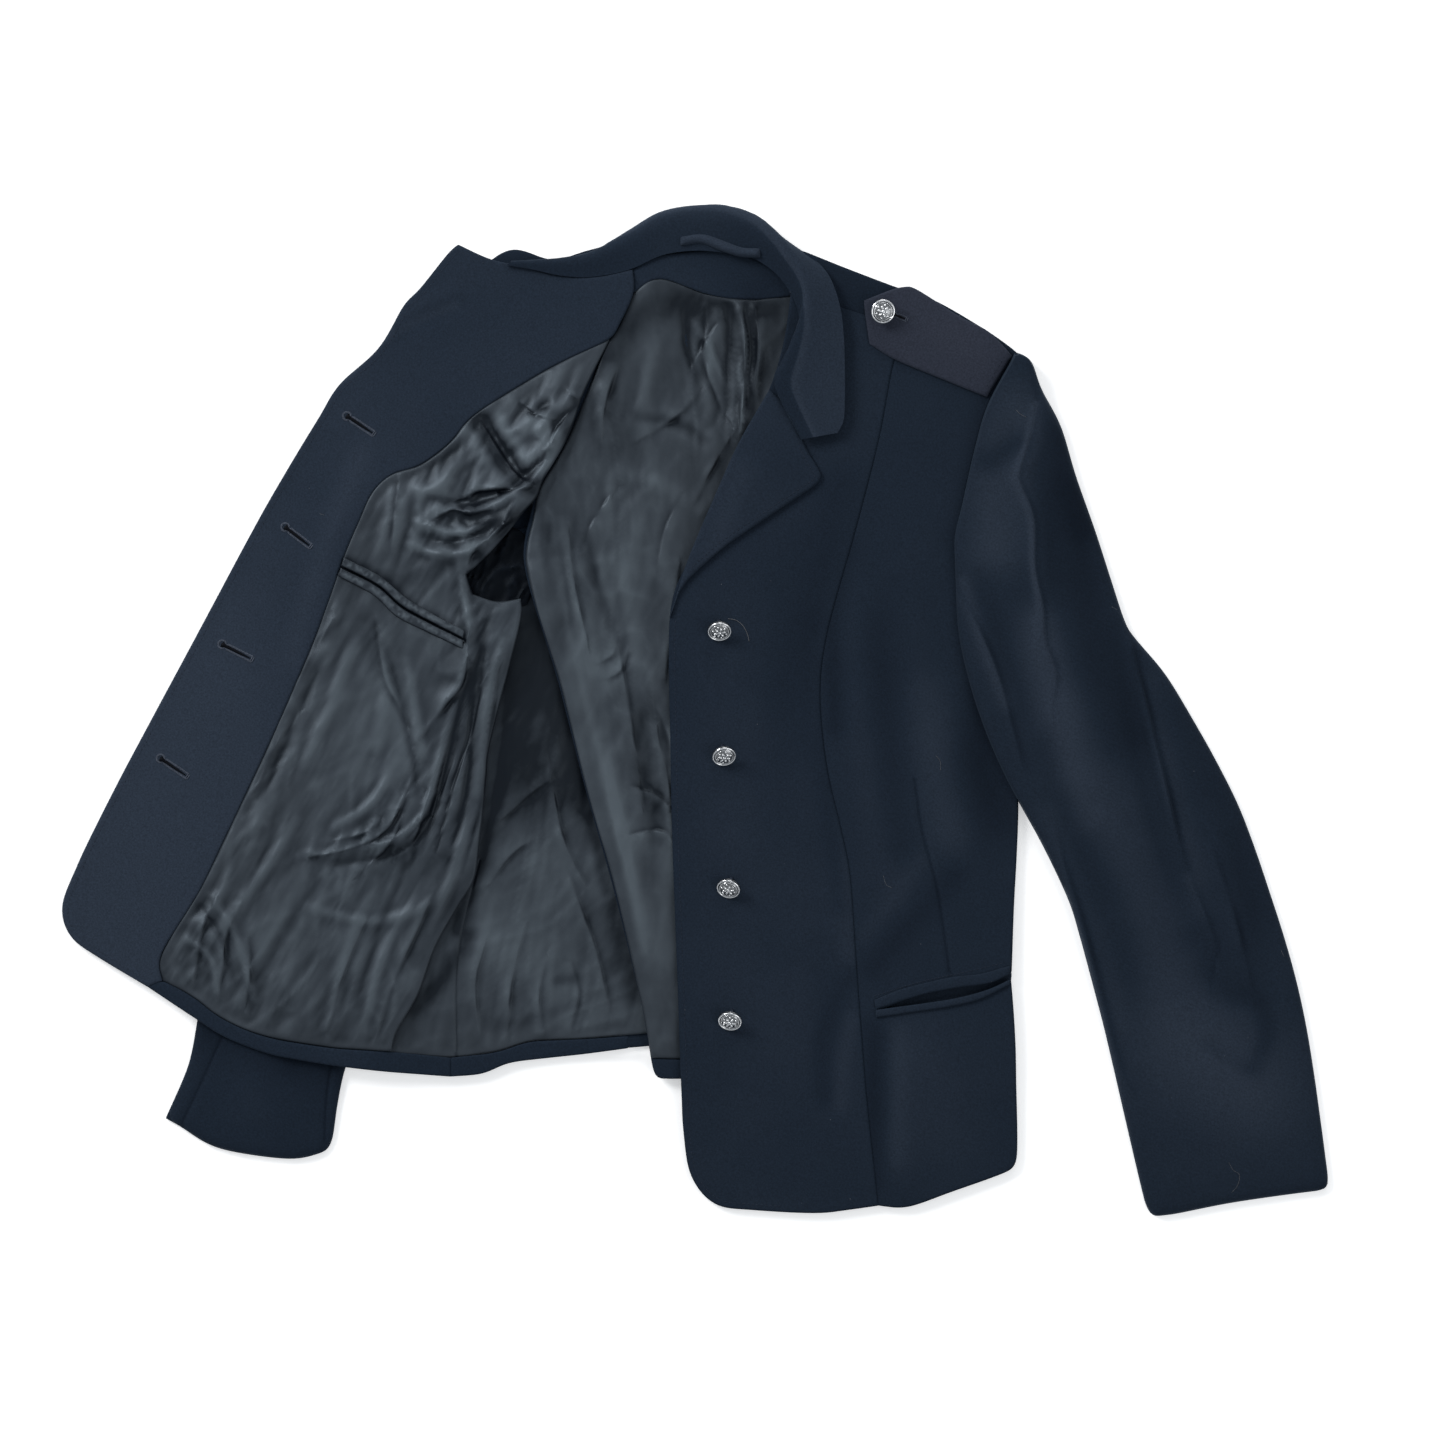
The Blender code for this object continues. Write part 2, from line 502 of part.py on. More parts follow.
# Left front with its hip pocket and lapel, over the left back
lay(Panel("pocket_bag", ["bag_ring"], LINING, SATIN, COARSE, SPAN, 2.0, 20.0))
lay(Panel("left_front", ["left_roll", "left_edge", "left_hem", "-left_princess", "left_shoulder_b"],
          FRONT_WALL, WOOL, COARSE, SPAN, BODY_LOFT, 30.0),
    Panel("left_side_front", ["left_princess", "left_side_hem", "left_side_low", "left_slit_low",
                              "left_slit_high", "left_side_high", "left_armhole", "left_shoulder_a"],
          FRONT_WALL, WOOL, COARSE, SPAN, BODY_LOFT, 30.0),
    Panel("left_shoulder", ["left_shoulder_edge", "-left_shoulder_b", "-left_shoulder_a"], SHELL, WOOL))
lay(Panel("left_lapel", ["left_roll_lapel", "left_lapel_edge", "left_lapel_tip", "left_lapel_top",
                         "left_gorge"], FRONT_WALL, WOOL, FINE, 0),
    Panel("pocket_welt_upper", ["welt_high_top", "welt_high_low"], WELT, WOOL, FINE, 0),
    Panel("pocket_welt_lower", ["welt_low_top", "welt_low_low"], WELT, WOOL, FINE, 0))

# Collar fall, epaulette and hanger loop
lay(Panel("collar_fall_left", ["fall_roll", "fall_top", "fall_edge", "fall_tip", "fall_low", "left_gorge"],
          COLLAR_WALL, WOOL, FINE, 0, 0.0, 10.0, [Fold(50, 214, 72, 280, 22, 3.5)]),
    Panel("epaulette", ["epaulette_low", "epaulette_high"], EPAULETTE_WALL, WOOL, FINE, 0))
lay(Panel("hanger_loop", ["loop_top", "loop_low"], WELT, WOOL, FINE, 0, 0.0, 10.0,
          [Fold(8, 312, 28, 306, 12, 2.0)]))

# Left sleeve
LEFT_SLEEVE = ["sleeve_head", "sleeve_outer", "sleeve_cuff", "sleeve_inner", "left_armhole"]
lay(Panel("left_sleeve_under", LEFT_SLEEVE, SLEEVE_WALL, WOOL, COARSE, 0))
lay(Panel("left_sleeve_upper", LEFT_SLEEVE, SLEEVE_WALL, WOOL, COARSE, SPAN, SLEEVE_LOFT, 30.0))

# Buttons
for row, place in enumerate(FRONT_BUTTONS, 1):
    button(f"button_{row}", *place, BUTTON_TILT, 0.0, "left_front")
button("button_epaulette", *EPAULETTE_BUTTON, EPAULETTE_BUTTON_TILT, EPAULETTE_BUTTON_TURN, "epaulette")

# The garment stands on its lowest face, centred over the origin
bpy.context.view_layer.update()
CORNERS = np.array([obj.matrix_world @ Vector(corner) for obj in GARMENT.objects for corner in obj.bound_box])
SHIFT = Vector((*-(CORNERS.min(0) + CORNERS.max(0))[:2] / 2, -CORNERS[:, 2].min()))
for obj in GARMENT.objects:
    obj.matrix_world = Matrix.Translation(SHIFT) @ obj.matrix_world
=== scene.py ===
# %% [markdown]
# # A dress uniform jacket, laid flat with one front turned open
# The real jacket is navy wool twill outside and dark satin inside. It lies on its back: the wearer's left
# front is closed over, and the right front is turned open so that its facing and lining show. The packed
# solids give every piece its place. Each is thin cloth, so the scene lays a fine sheet over each solid, gives
# it soft creases, and adds stitches, buttonholes and lint; light and shade on the cloth are partly painted.

# %% load the frame
import math

import bmesh
import bpy
import numpy as np
from mathutils import Matrix, Vector, noise
from mathutils.bvhtree import BVHTree
from mathutils.geometry import delaunay_2d_cdt


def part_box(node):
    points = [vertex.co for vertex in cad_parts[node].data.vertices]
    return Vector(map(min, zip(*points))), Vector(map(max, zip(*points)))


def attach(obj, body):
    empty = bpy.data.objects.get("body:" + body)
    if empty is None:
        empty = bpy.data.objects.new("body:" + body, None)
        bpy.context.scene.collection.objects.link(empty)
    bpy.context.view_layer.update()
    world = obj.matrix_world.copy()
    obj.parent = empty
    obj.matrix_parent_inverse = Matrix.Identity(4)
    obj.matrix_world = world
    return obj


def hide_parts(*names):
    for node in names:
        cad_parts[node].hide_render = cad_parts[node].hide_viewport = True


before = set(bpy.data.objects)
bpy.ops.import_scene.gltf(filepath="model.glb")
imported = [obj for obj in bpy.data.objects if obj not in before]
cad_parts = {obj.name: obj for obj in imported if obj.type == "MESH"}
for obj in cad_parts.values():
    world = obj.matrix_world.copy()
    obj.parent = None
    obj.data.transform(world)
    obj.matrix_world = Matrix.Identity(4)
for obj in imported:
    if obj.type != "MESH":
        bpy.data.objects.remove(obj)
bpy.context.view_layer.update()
MM = 0.001

# %% [markdown]
# ## Reading a solid
# A wall's upper faces hold the shape of the cloth. They are copied, merged and flattened in plan, so that the
# height of the cloth can be looked up at any place. The edge of those faces is the cut edge of the cloth.
# Points on straight runs are dropped, and a smooth curve goes through the rest, except at real corners.

# %% look up a solid's upper side
UP_LIMIT = 0.3
STRAIGHT = 0.05
CORNER_TURN = math.radians(48)
SOFT_REACH = 11.0
SOFT_ROUNDS = 9
EASE_ROUNDS = 3
WELD = 1e-6
TINY = 1e-9


class Upper:
    """The upper side of a solid: its height at any place, and its outline in plan, in millimetres."""

    def __init__(self, node):
        bm = bmesh.new()
        bm.from_mesh(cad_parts[node].data)
        bmesh.ops.remove_doubles(bm, verts=bm.verts[:], dist=WELD)
        bm.normal_update()
        low = [f for f in bm.faces if f.normal.z < UP_LIMIT]
        bmesh.ops.delete(bm, geom=low, context="FACES")
        bmesh.ops.triangulate(bm, faces=bm.faces[:])
        self.points = [v.co / MM for v in bm.verts]
        bm.verts.index_update()
        self.faces = [[v.index for v in f.verts] for f in bm.faces]
        self.tree = BVHTree.FromPolygons([(p.x, p.y, 0.0) for p in self.points], self.faces)
        self.outline = self.walk(bm)
        bm.free()

    def walk(self, bm):
        """The boundary in order, counter-clockwise, without the points on straight runs."""
        rim_painted_shade = {}
        for edge in bm.edges:
            if edge.is_boundary:
                loop = edge.link_loops[0]
                rim_painted_shade[loop.vert.index] = loop.link_loop_next.vert.index
        start = next(iter(rim_painted_shade))
        order = [start]
        while rim_painted_shade[order[-1]] != start:
            order.append(rim_painted_shade[order[-1]])
        points = np.array([self.points[k][:2] for k in order])
        dropping = True
        while dropping:
            before = np.roll(points, 1, axis=0)
            after = np.roll(points, -1, axis=0)
            run = after - before
            away = np.abs((points - before)[:, 0] * run[:, 1] - (points - before)[:, 1] * run[:, 0])
            away /= np.maximum(np.linalg.norm(run, axis=1), WELD)
            k = int(np.argmin(away))
            dropping = away[k] < STRAIGHT
            if dropping:
                points = np.delete(points, k, axis=0)
        return points

    def height(self, x, y):
        place, _, face, _ = self.tree.find_nearest((x, y, 0.0))
        a, b, c = (self.points[k] for k in self.faces[face])
        normal = (b - a).cross(c - a)
        if abs(normal.z) < TINY:
            return a.z
        return a.z - (normal.x * (place.x - a.x) + normal.y * (place.y - a.y)) / normal.z


UPPER = {name: Upper(name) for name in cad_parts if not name.startswith("button")}
print("outlines:", {name: len(u.outline) for name, u in UPPER.items()})

# %% smooth an outline


def corners_of(points):
    before = points - np.roll(points, 1, axis=0)
    after = np.roll(points, -1, axis=0) - points
    turn = np.arctan2(before[:, 0] * after[:, 1] - before[:, 1] * after[:, 0], (before * after).sum(1))
    return np.abs(turn) > CORNER_TURN


def blend(a, b, c, d, t):
    """The smooth curve from b to c that a and d steer, at a share t of the way."""
    return 0.5 * (2 * b + (c - a) * t + (2 * a - 5 * b + 4 * c - d) * t**2 + (3 * b - a - 3 * c + d) * t**3)


def through(points, step, closed=False):
    """A smooth curve through the points, with a point about every step."""
    if closed:
        padded = [points[-1], *points, points[0], points[1]]
    else:
        padded = [2 * points[0] - points[1], *points, 2 * points[-1] - points[-2]]
    out = []
    for a, b, c, d in zip(padded, padded[1:], padded[2:], padded[3:]):
        count = max(1, round(float(np.linalg.norm(c - b)) / step))
        out.append(blend(a, b, c, d, (np.arange(count) / count)[:, None]))
    if not closed:
        out.append(np.array([points[-1]]))
    return np.concatenate(out)


def smooth_outline(points, step):
    """The outline as smooth runs between its corners."""
    sharp = np.flatnonzero(corners_of(points))
    if len(sharp) == 0:
        return through(points, step, closed=True)
    points = np.roll(points, -sharp[0], axis=0)
    sharp = [int(k - sharp[0]) for k in sharp] + [len(points)]
    points = np.concatenate([points, points[:1]])
    runs = [through(points[a:b + 1], step)[:-1] for a, b in zip(sharp, sharp[1:])]
    return np.concatenate(runs)


def walked_along(path):
    """How far along a path each of its points lies."""
    return np.concatenate([[0], np.cumsum(np.linalg.norm(np.diff(path, axis=0), axis=1))])


def place_at(path, walked, at):
    """The place at a distance along a path, or the places at many."""
    return np.array([np.interp(at, walked, column) for column in np.asarray(path).T]).T


def outward_normals(loop):
    tangent = np.roll(loop, -1, axis=0) - np.roll(loop, 1, axis=0)
    length = np.maximum(np.linalg.norm(tangent, axis=1), TINY)
    return np.stack([tangent[:, 1], -tangent[:, 0]], 1) / length[:, None]


def cut_line(node, step, outward=0.25, soft=(), more=()):
    """The cut edge of a solid's cloth, eased, let out a little, and rounded at the corners named soft.

    Where the sheets would leave a slit, more lets the edge out further: places, their reach and how far.
    """
    loop = smooth_outline(UPPER[node].outline, step)
    sharp = corners_of(loop)
    near = np.zeros(len(loop), bool)
    for place in soft:
        near |= np.linalg.norm(loop - np.array(place), axis=1) < SOFT_REACH
    for k in range(SOFT_ROUNDS):
        mean = 0.25 * np.roll(loop, 1, axis=0) + 0.5 * loop + 0.25 * np.roll(loop, -1, axis=0)
        moving = near | (~sharp if k < EASE_ROUNDS else np.zeros(len(loop), bool))
        loop = np.where(moving[:, None], mean, loop)
    let = np.full(len(loop), outward)
    for place, reach, amount in more:
        away = np.linalg.norm(loop - np.array(place), axis=1)
        let += amount * np.exp(-((away / reach) ** 2))
    return loop + outward_normals(loop) * let[:, None]


def distance_to(loop, points, closed=True):
    """The distance of every point from a run of segments, and how far along the run the nearest place is."""
    ends = np.roll(loop, -1, axis=0) if closed else loop[1:]
    starts = loop if closed else loop[:-1]
    best = np.full(len(points), np.inf)
    along = np.zeros(len(points))
    walked = 0.0
    for a, b in zip(starts, ends):
        run = b - a
        length = float(np.hypot(*run))
        t = np.clip(((points - a) @ run) / max(length**2, TINY), 0, 1)
        away = np.hypot(points[:, 0] - a[0] - t * run[0], points[:, 1] - a[1] - t * run[1])
        nearer = away < best
        best[nearer] = away[nearer]
        along[nearer] = walked + t[nearer] * length
        walked += length
    return best, along / max(walked, TINY)


def side_of(run, points):
    """Which side of a run each point lies on: 1 on its left and -1 on its right."""
    best = np.full(len(points), np.inf)
    side = np.ones(len(points))
    for a, b in zip(run, run[1:]):
        step = b - a
        t = np.clip(((points - a) @ step) / max(float(step @ step), TINY), 0, 1)
        away = np.hypot(points[:, 0] - a[0] - t * step[0], points[:, 1] - a[1] - t * step[1])
        turn = step[0] * (points[:, 1] - a[1]) - step[1] * (points[:, 0] - a[0])
        nearer = away < best
        best[nearer] = away[nearer]
        side[nearer] = np.where(turn[nearer] >= 0, 1.0, -1.0)
    return side


def inside(loop, points):
    crossings = np.zeros(len(points), int)
    for a, b in zip(loop, np.roll(loop, -1, axis=0)):
        if a[1] != b[1]:
            between = (a[1] > points[:, 1]) != (b[1] > points[:, 1])
            at = a[0] + (points[:, 1] - a[1]) * (b[0] - a[0]) / (b[1] - a[1])
            crossings += between & (points[:, 0] < at)
    return crossings % 2 == 1


# %% [markdown]
# ## One sheet of cloth
# Cloth needs an even mesh, or the light shows every odd triangle. Rows of points in a honeycomb fill the
# outline, rings of points follow its edge, and a constrained Delaunay triangulation joins them. The height
# comes from the solid and is smoothed, then folds are added. A crease is a route in millimetres, with a half
# width and a height; a trough has a negative height. A lip is a fold that rolls over at one side of its
# route, as slack cloth does. Crumples and crinkles come from noise that is stretched along the drape.

# %% the sheet
SPACING = 3.2
RINGS = (0.5, 1.4, 2.8)
ROW_HEIGHT = math.sqrt(0.75)
COMB_ROOM = 0.55
LINE_ROOM = 0.5
RING_CLEAR = 0.97
LINE_STEP = 1.5
LINE_ROWS = (-1.7, -0.7, 0.0, 0.7, 1.7)
ROUTE_STEP = 6.0
LEAST_CUT = 0.0102
SHARP_ANGLE = math.radians(60)
# Folds of slack cloth: rounds, how hard an edge pushes, its stiffness, the band that the seam holds flat, the
# least slack, the share of a push that shifts the cloth sideways, and how much of a dip is kept
BUCKLE_ROUNDS = 330
PUSH = 2.6
STIFFNESS = 0.13
HELD_BAND = 5.0
LEAST_SLACK = 0.25
SIDEWAYS = 0.7
DIP_KEPT = 0.96
# Lips: how softly the cloth turns over, and the dip before it; then the painted highlight on the crest and
# the painted shade under it, each with its place across the fold, its half width and its strength
LIP_TURN = 0.55
LIP_DIP = 0.3
LIP_DIP_REACH = 0.7
LIP_PAINTED_HIGHLIGHT = (2.8, 2.0, 0.22)
LIP_SHADE = (-1.2, 1.8, 0.6)
# Edges and seams: the band in which folds die away, the least height over the bed, how deep a joined edge
# sinks, how far the seam draws the cloth in, and how it rounds over
EDGE_BAND = 6.0
CLEAR = 0.3
SEAM_SINK = 1.2
SEWN_REACH = 16.0
SEAM_ROUND = 1.4
# Painted light and shade: paler by the height of a crease, of a fold and of the relief, painted shade at a
# rim and along a line, and their limits
CREASE_PAINTED_LIGHT = 0.16
CREASE_PAINTED_LIGHT_MOST = 0.5
FOLD_PAINTED_LIGHT = 0.12
FOLD_PAINTED_LIGHT_RANGE = (-0.2, 0.4)
FOLD_FLAT = 0.6
RELIEF_PAINTED_LIGHT_ROUNDS = 16
RELIEF_PAINTED_LIGHT_RANGE = (-0.75, 0.45)
LINE_PAINTED_SHADE = (0.8, 0.6)
SKIN = {}


def fill_points(loop, rings, spacing, lines=()):
    """The points of a sheet: its outline, rings inside it, rows along its lines and a honeycomb."""
    lo, hi = loop.min(0), loop.max(0)
    rows = np.arange(lo[1], hi[1], spacing * ROW_HEIGHT)
    columns = np.arange(lo[0], hi[0], spacing)
    comb = np.array([(x + (k % 2) * spacing / 2, y) for k, y in enumerate(rows) for x in columns])
    comb = comb[inside(loop, comb)]
    away, _ = distance_to(loop, comb)
    comb = comb[away > rings[-1] + spacing * COMB_ROOM]
    sets = [loop]
    for ring in rings:
        moved = loop - outward_normals(loop) * ring
        clear, _ = distance_to(loop, moved)
        sets.append(moved[(clear > ring * RING_CLEAR) & inside(loop, moved)])
    for route in lines:
        run = through(np.array(route, float), LINE_STEP)
        across = np.gradient(run, axis=0)
        across = np.stack([-across[:, 1], across[:, 0]], 1) / np.linalg.norm(across, axis=1)[:, None]
        from_line, _ = distance_to(run, comb, closed=False)
        comb = comb[from_line > LINE_ROWS[-1] + spacing * LINE_ROOM]
        row_points = np.concatenate([run + across * row for row in LINE_ROWS])
        clear, _ = distance_to(loop, row_points)
        sets.append(row_points[(clear > rings[-1] + LINE_STEP / 2) & inside(loop, row_points)])
    return np.concatenate([*sets, comb])


def triangulate(loop, points):
    """Triangles inside the loop, which is given by the first points."""
    keep_inside, merge_within = 1, 1e-5
    vectors = [Vector(p) for p in points]
    made = delaunay_2d_cdt(vectors, [], [list(range(len(loop)))], keep_inside, merge_within)
    return np.array([v[:] for v in made[0]]), [list(f) for f in made[2]]


def edges_of(faces):
    a = np.array(faces)
    pairs = np.concatenate([a[:, [0, 1]], a[:, [1, 2]], a[:, [2, 0]]])
    return np.unique(np.sort(pairs, axis=1), axis=0)


def spread(values, faces, rounds):
    """Each value moves towards the mean of its neighbours."""
    i, j = edges_of(faces).T
    n = len(values)
    count = np.bincount(i, minlength=n) + np.bincount(j, minlength=n)
    for _ in range(rounds):
        total = np.bincount(i, values[j], n) + np.bincount(j, values[i], n)
        values = np.where(count > 0, 0.5 * values + 0.5 * total / np.maximum(count, 1), values)
    return values


def tone_at(points, tones):
    """A sum of soft spots and soft bands (route, width, amount): painted light and shade on the cloth, and
    also its slack.
    """
    total = np.zeros(len(points))
    for route, width, amount in tones:
        if len(route) == 1:
            away = np.linalg.norm(points - np.array(route[0]), axis=1)
        else:
            away, _ = distance_to(through(np.array(route, float), ROUTE_STEP), points, closed=False)
        total += amount * np.exp(-((away / width) ** 2))
    return total


def end_fade(along, power):
    """One in the middle of a route and nothing at its ends."""
    return np.sin(np.pi * np.clip(along, 0.0, 1.0)) ** power


def crease_height(points, creases):
    """The sum of all creases: routes with a half width and a height, which fade out at both ends."""
    total = np.zeros(len(points))
    for route, width, tall in creases:
        run = through(np.array(route, float), ROUTE_STEP)
        away, along = distance_to(run, points, closed=False)
        total += tall * end_fade(along, 0.6) * np.exp(-((away / width) ** 2))
    return total


def lip_height(points, lips):
    """Sharp folds: the cloth on the left of each route rolls up and over the cloth on its right.

    A lip is a route with a width and a height. Gives the heights, and the painted highlights on the crests
    and the painted shade beneath them.
    """
    total = np.zeros(len(points))
    shade = np.zeros(len(points))
    crest_at, crest_width, crest_painted_highlight = LIP_PAINTED_HIGHLIGHT
    under_at, under_width, under_painted_shade = LIP_SHADE
    for k, (route, width, tall) in enumerate(lips):
        run = through(np.array(route, float), LINE_STEP)
        away, along = distance_to(run, points, closed=False)
        wander = np.array([noise.noise(Vector((5.0 * a, 3.7 * k, 0.5))) for a in along])
        fade = end_fade(along, 0.7) * np.clip(1.0 + 1.1 * wander, 0.25, 1.6)
        signed = side_of(run, points) * away
        left = 1.0 / (1.0 + np.exp(-signed / LIP_TURN))
        dip = (1 - left) * LIP_DIP * np.exp(-away / (LIP_DIP_REACH * width))
        total += tall * fade * (left * np.exp(-away / width) - dip)
        crest = np.exp(-(((signed - crest_at) / crest_width) ** 2))
        under = np.exp(-(((signed - under_at) / under_width) ** 2))
        under += 0.6 * (1 - left) * np.exp(-away / (0.8 * width))
        shade += fade * (crest_painted_highlight * crest - under_painted_shade * under) * min(1.0, tall / 2.0)
    return total, shade


def turned_to(x, y, angle):
    """Plan coordinates along an angle in degrees and across it."""
    c, s = math.cos(math.radians(angle)), math.sin(math.radians(angle))
    return x * c + y * s, y * c - x * s


def crinkle(points, size, tall, angle, stretch, seed):
    """Sharp winding creases: the crest of each lies where a bent noise passes through nothing."""
    along, across = turned_to(*points.T, angle)
    out = np.zeros(len(points))
    for k, (u, v) in enumerate(zip(along / (size * stretch), across / size)):
        bend = noise.noise(Vector((0.6 * u, 0.6 * v, seed + 3.1)))
        first = noise.noise(Vector((u + bend, v - 1.6 * bend, seed)))
        second = noise.noise(Vector((2.2 * u - bend, 2.2 * v + bend, seed + 7.3)))
        out[k] = (1 - min(1.0, 2.4 * abs(first))) ** 1.6 + 0.4 * (1 - min(1.0, 2.6 * abs(second))) ** 1.5
    return tall * (out - out.mean())


def crumple(points, size, tall, angle, stretch, seed):
    """Noise in ridges, stretched along the angle."""
    along, across = turned_to(*points.T, angle)
    rough = [noise.noise(Vector((u, v, seed))) + 0.5 * noise.noise(Vector((2.1 * u, 2.1 * v, seed + 7.3)))
             for u, v in zip(along / (size * stretch), across / size)]
    return tall * np.array(rough)


def let_out(points, faces, z, away, cut):
    """Cloth that is cut longer than its place and sewn down at its edge, so it buckles into folds.

    Every edge of the mesh is given the length that it was cut to. Round after round, points move until the
    edges come near that length; a resistance to bending keeps the folds soft and sets how wide they are.
    """
    along, across, angle, size, tall, seed, slack = cut
    i, j = edges_of(faces).T
    n = len(points)
    count = np.maximum(np.bincount(i, minlength=n) + np.bincount(j, minlength=n), 1)
    free = np.clip(away / HELD_BAND, 0, 1)
    amount = LEAST_SLACK + tone_at(points, slack)
    p = np.column_stack([points, z])
    d = p[j] - p[i]
    p[:, 2] += free * crumple(points, size, tall, angle, 2.6, seed) * amount
    local = 0.5 * (amount[i] + amount[j])
    u, v = turned_to(d[:, 0], d[:, 1], angle)
    rest = np.sqrt((u * (1 + along * local)) ** 2 + (v * (1 + across * local)) ** 2 + d[:, 2] ** 2)
    for _ in range(BUCKLE_ROUNDS):
        d = p[j] - p[i]
        length = np.linalg.norm(d, axis=1)
        push = (0.5 * (length - rest) / length)[:, None] * d
        for k in range(3):
            shift = (np.bincount(i, push[:, k], n) - np.bincount(j, push[:, k], n)) / count * PUSH
            p[:, k] += shift * (free if k == 2 else free * SIDEWAYS)
        rise = p[:, 2] - z
        bend = (np.bincount(i, rise[j], n) + np.bincount(j, rise[i], n)) / count - rise
        bend = (np.bincount(i, bend[j], n) + np.bincount(j, bend[i], n)) / count - bend
        rise -= STIFFNESS * bend
        p[:, 2] = z + np.where(rise < 0, rise * DIP_KEPT, rise)
    print(f"   let out: folds {(p[:, 2] - z).min():.1f} to {(p[:, 2] - z).max():.1f} mm")
    return p[:, :2], p[:, 2]


def best_box(points):
    """The smallest rectangle round the sheet, over a set of turns."""
    best = None
    for angle in np.radians(np.arange(0, 90, 3)):
        turned = points @ np.array([[math.cos(angle), -math.sin(angle)], [math.sin(angle), math.cos(angle)]])
        size = turned.max(0) - turned.min(0)
        if best is None or size.prod() < best.prod():
            best = size
    return best


def thicken(obj, wall, offset, material):
    """The wall of a sheet, its shading and its material."""
    bpy.context.view_layer.objects.active = obj
    solid = obj.modifiers.new("wall", "SOLIDIFY")
    solid.thickness = wall * MM
    solid.offset = offset
    bpy.ops.object.modifier_apply(modifier=solid.name)
    obj.data.shade_smooth()
    obj.data.set_sharp_from_angle(angle=SHARP_ANGLE)
    obj.data.materials.append(material)


def tell_frame(obj, node, flat_points):
    """A sheet's flat size, printed; its solid is hidden and the sheet is attached to the root. A cut
    piece covers at least a good part of its box.
    """
    least_filled, rounding = 0.301, 1.001
    width, length = np.maximum(best_box(flat_points) * MM * rounding, LEAST_CUT)
    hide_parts(node)
    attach(obj, "root")
    print(f"{obj.name}: {len(obj.data.polygons)} faces, flat {width:.3f} x {length:.3f} m")


def new_mesh_object(name, points, faces, grain):
    """A mesh in metres with a UV map that follows the grain of the cloth."""
    mesh = bpy.data.meshes.new(name)
    mesh.from_pydata((np.asarray(points) * MM).tolist(), [], faces)
    c, s = math.cos(math.radians(grain)), math.sin(math.radians(grain))
    layer = mesh.uv_layers.new(name="cloth")
    for loop in mesh.loops:
        x, y, _ = mesh.vertices[loop.vertex_index].co
        layer.data[loop.index].uv = (x * c + y * s, y * c - x * s)
    obj = bpy.data.objects.new(name, mesh)
    bpy.context.scene.collection.objects.link(obj)
    return obj


def set_tone_and_painted_light(obj, tones, count):
    """The tone and the painted light and shade of each point as an attribute, on the upper wall and the lower
    one alike.
    """
    layer = obj.data.attributes.new("tone_and_painted_light", "FLOAT", "POINT")
    values = np.tile(tones, len(obj.data.vertices) // count + 1)[:len(obj.data.vertices)]
    layer.data.foreach_set("value", values)


def bed_height(points, nodes):
    """The height of the highest of the named solids under each point."""
    bed = np.zeros(len(points))
    for node in nodes:
        upper = UPPER[node]
        over = np.flatnonzero(inside(upper.outline, points))
        bed[over] = np.maximum(bed[over], [upper.height(*points[k]) for k in over])
    return bed


def round_over(away, reach):
    """A quarter circle: one at the very edge and nothing from the reach inwards."""
    return 1 - np.sqrt(np.clip(1 - (1 - np.clip(away / reach, 0, 1)) ** 2, 0, 1))


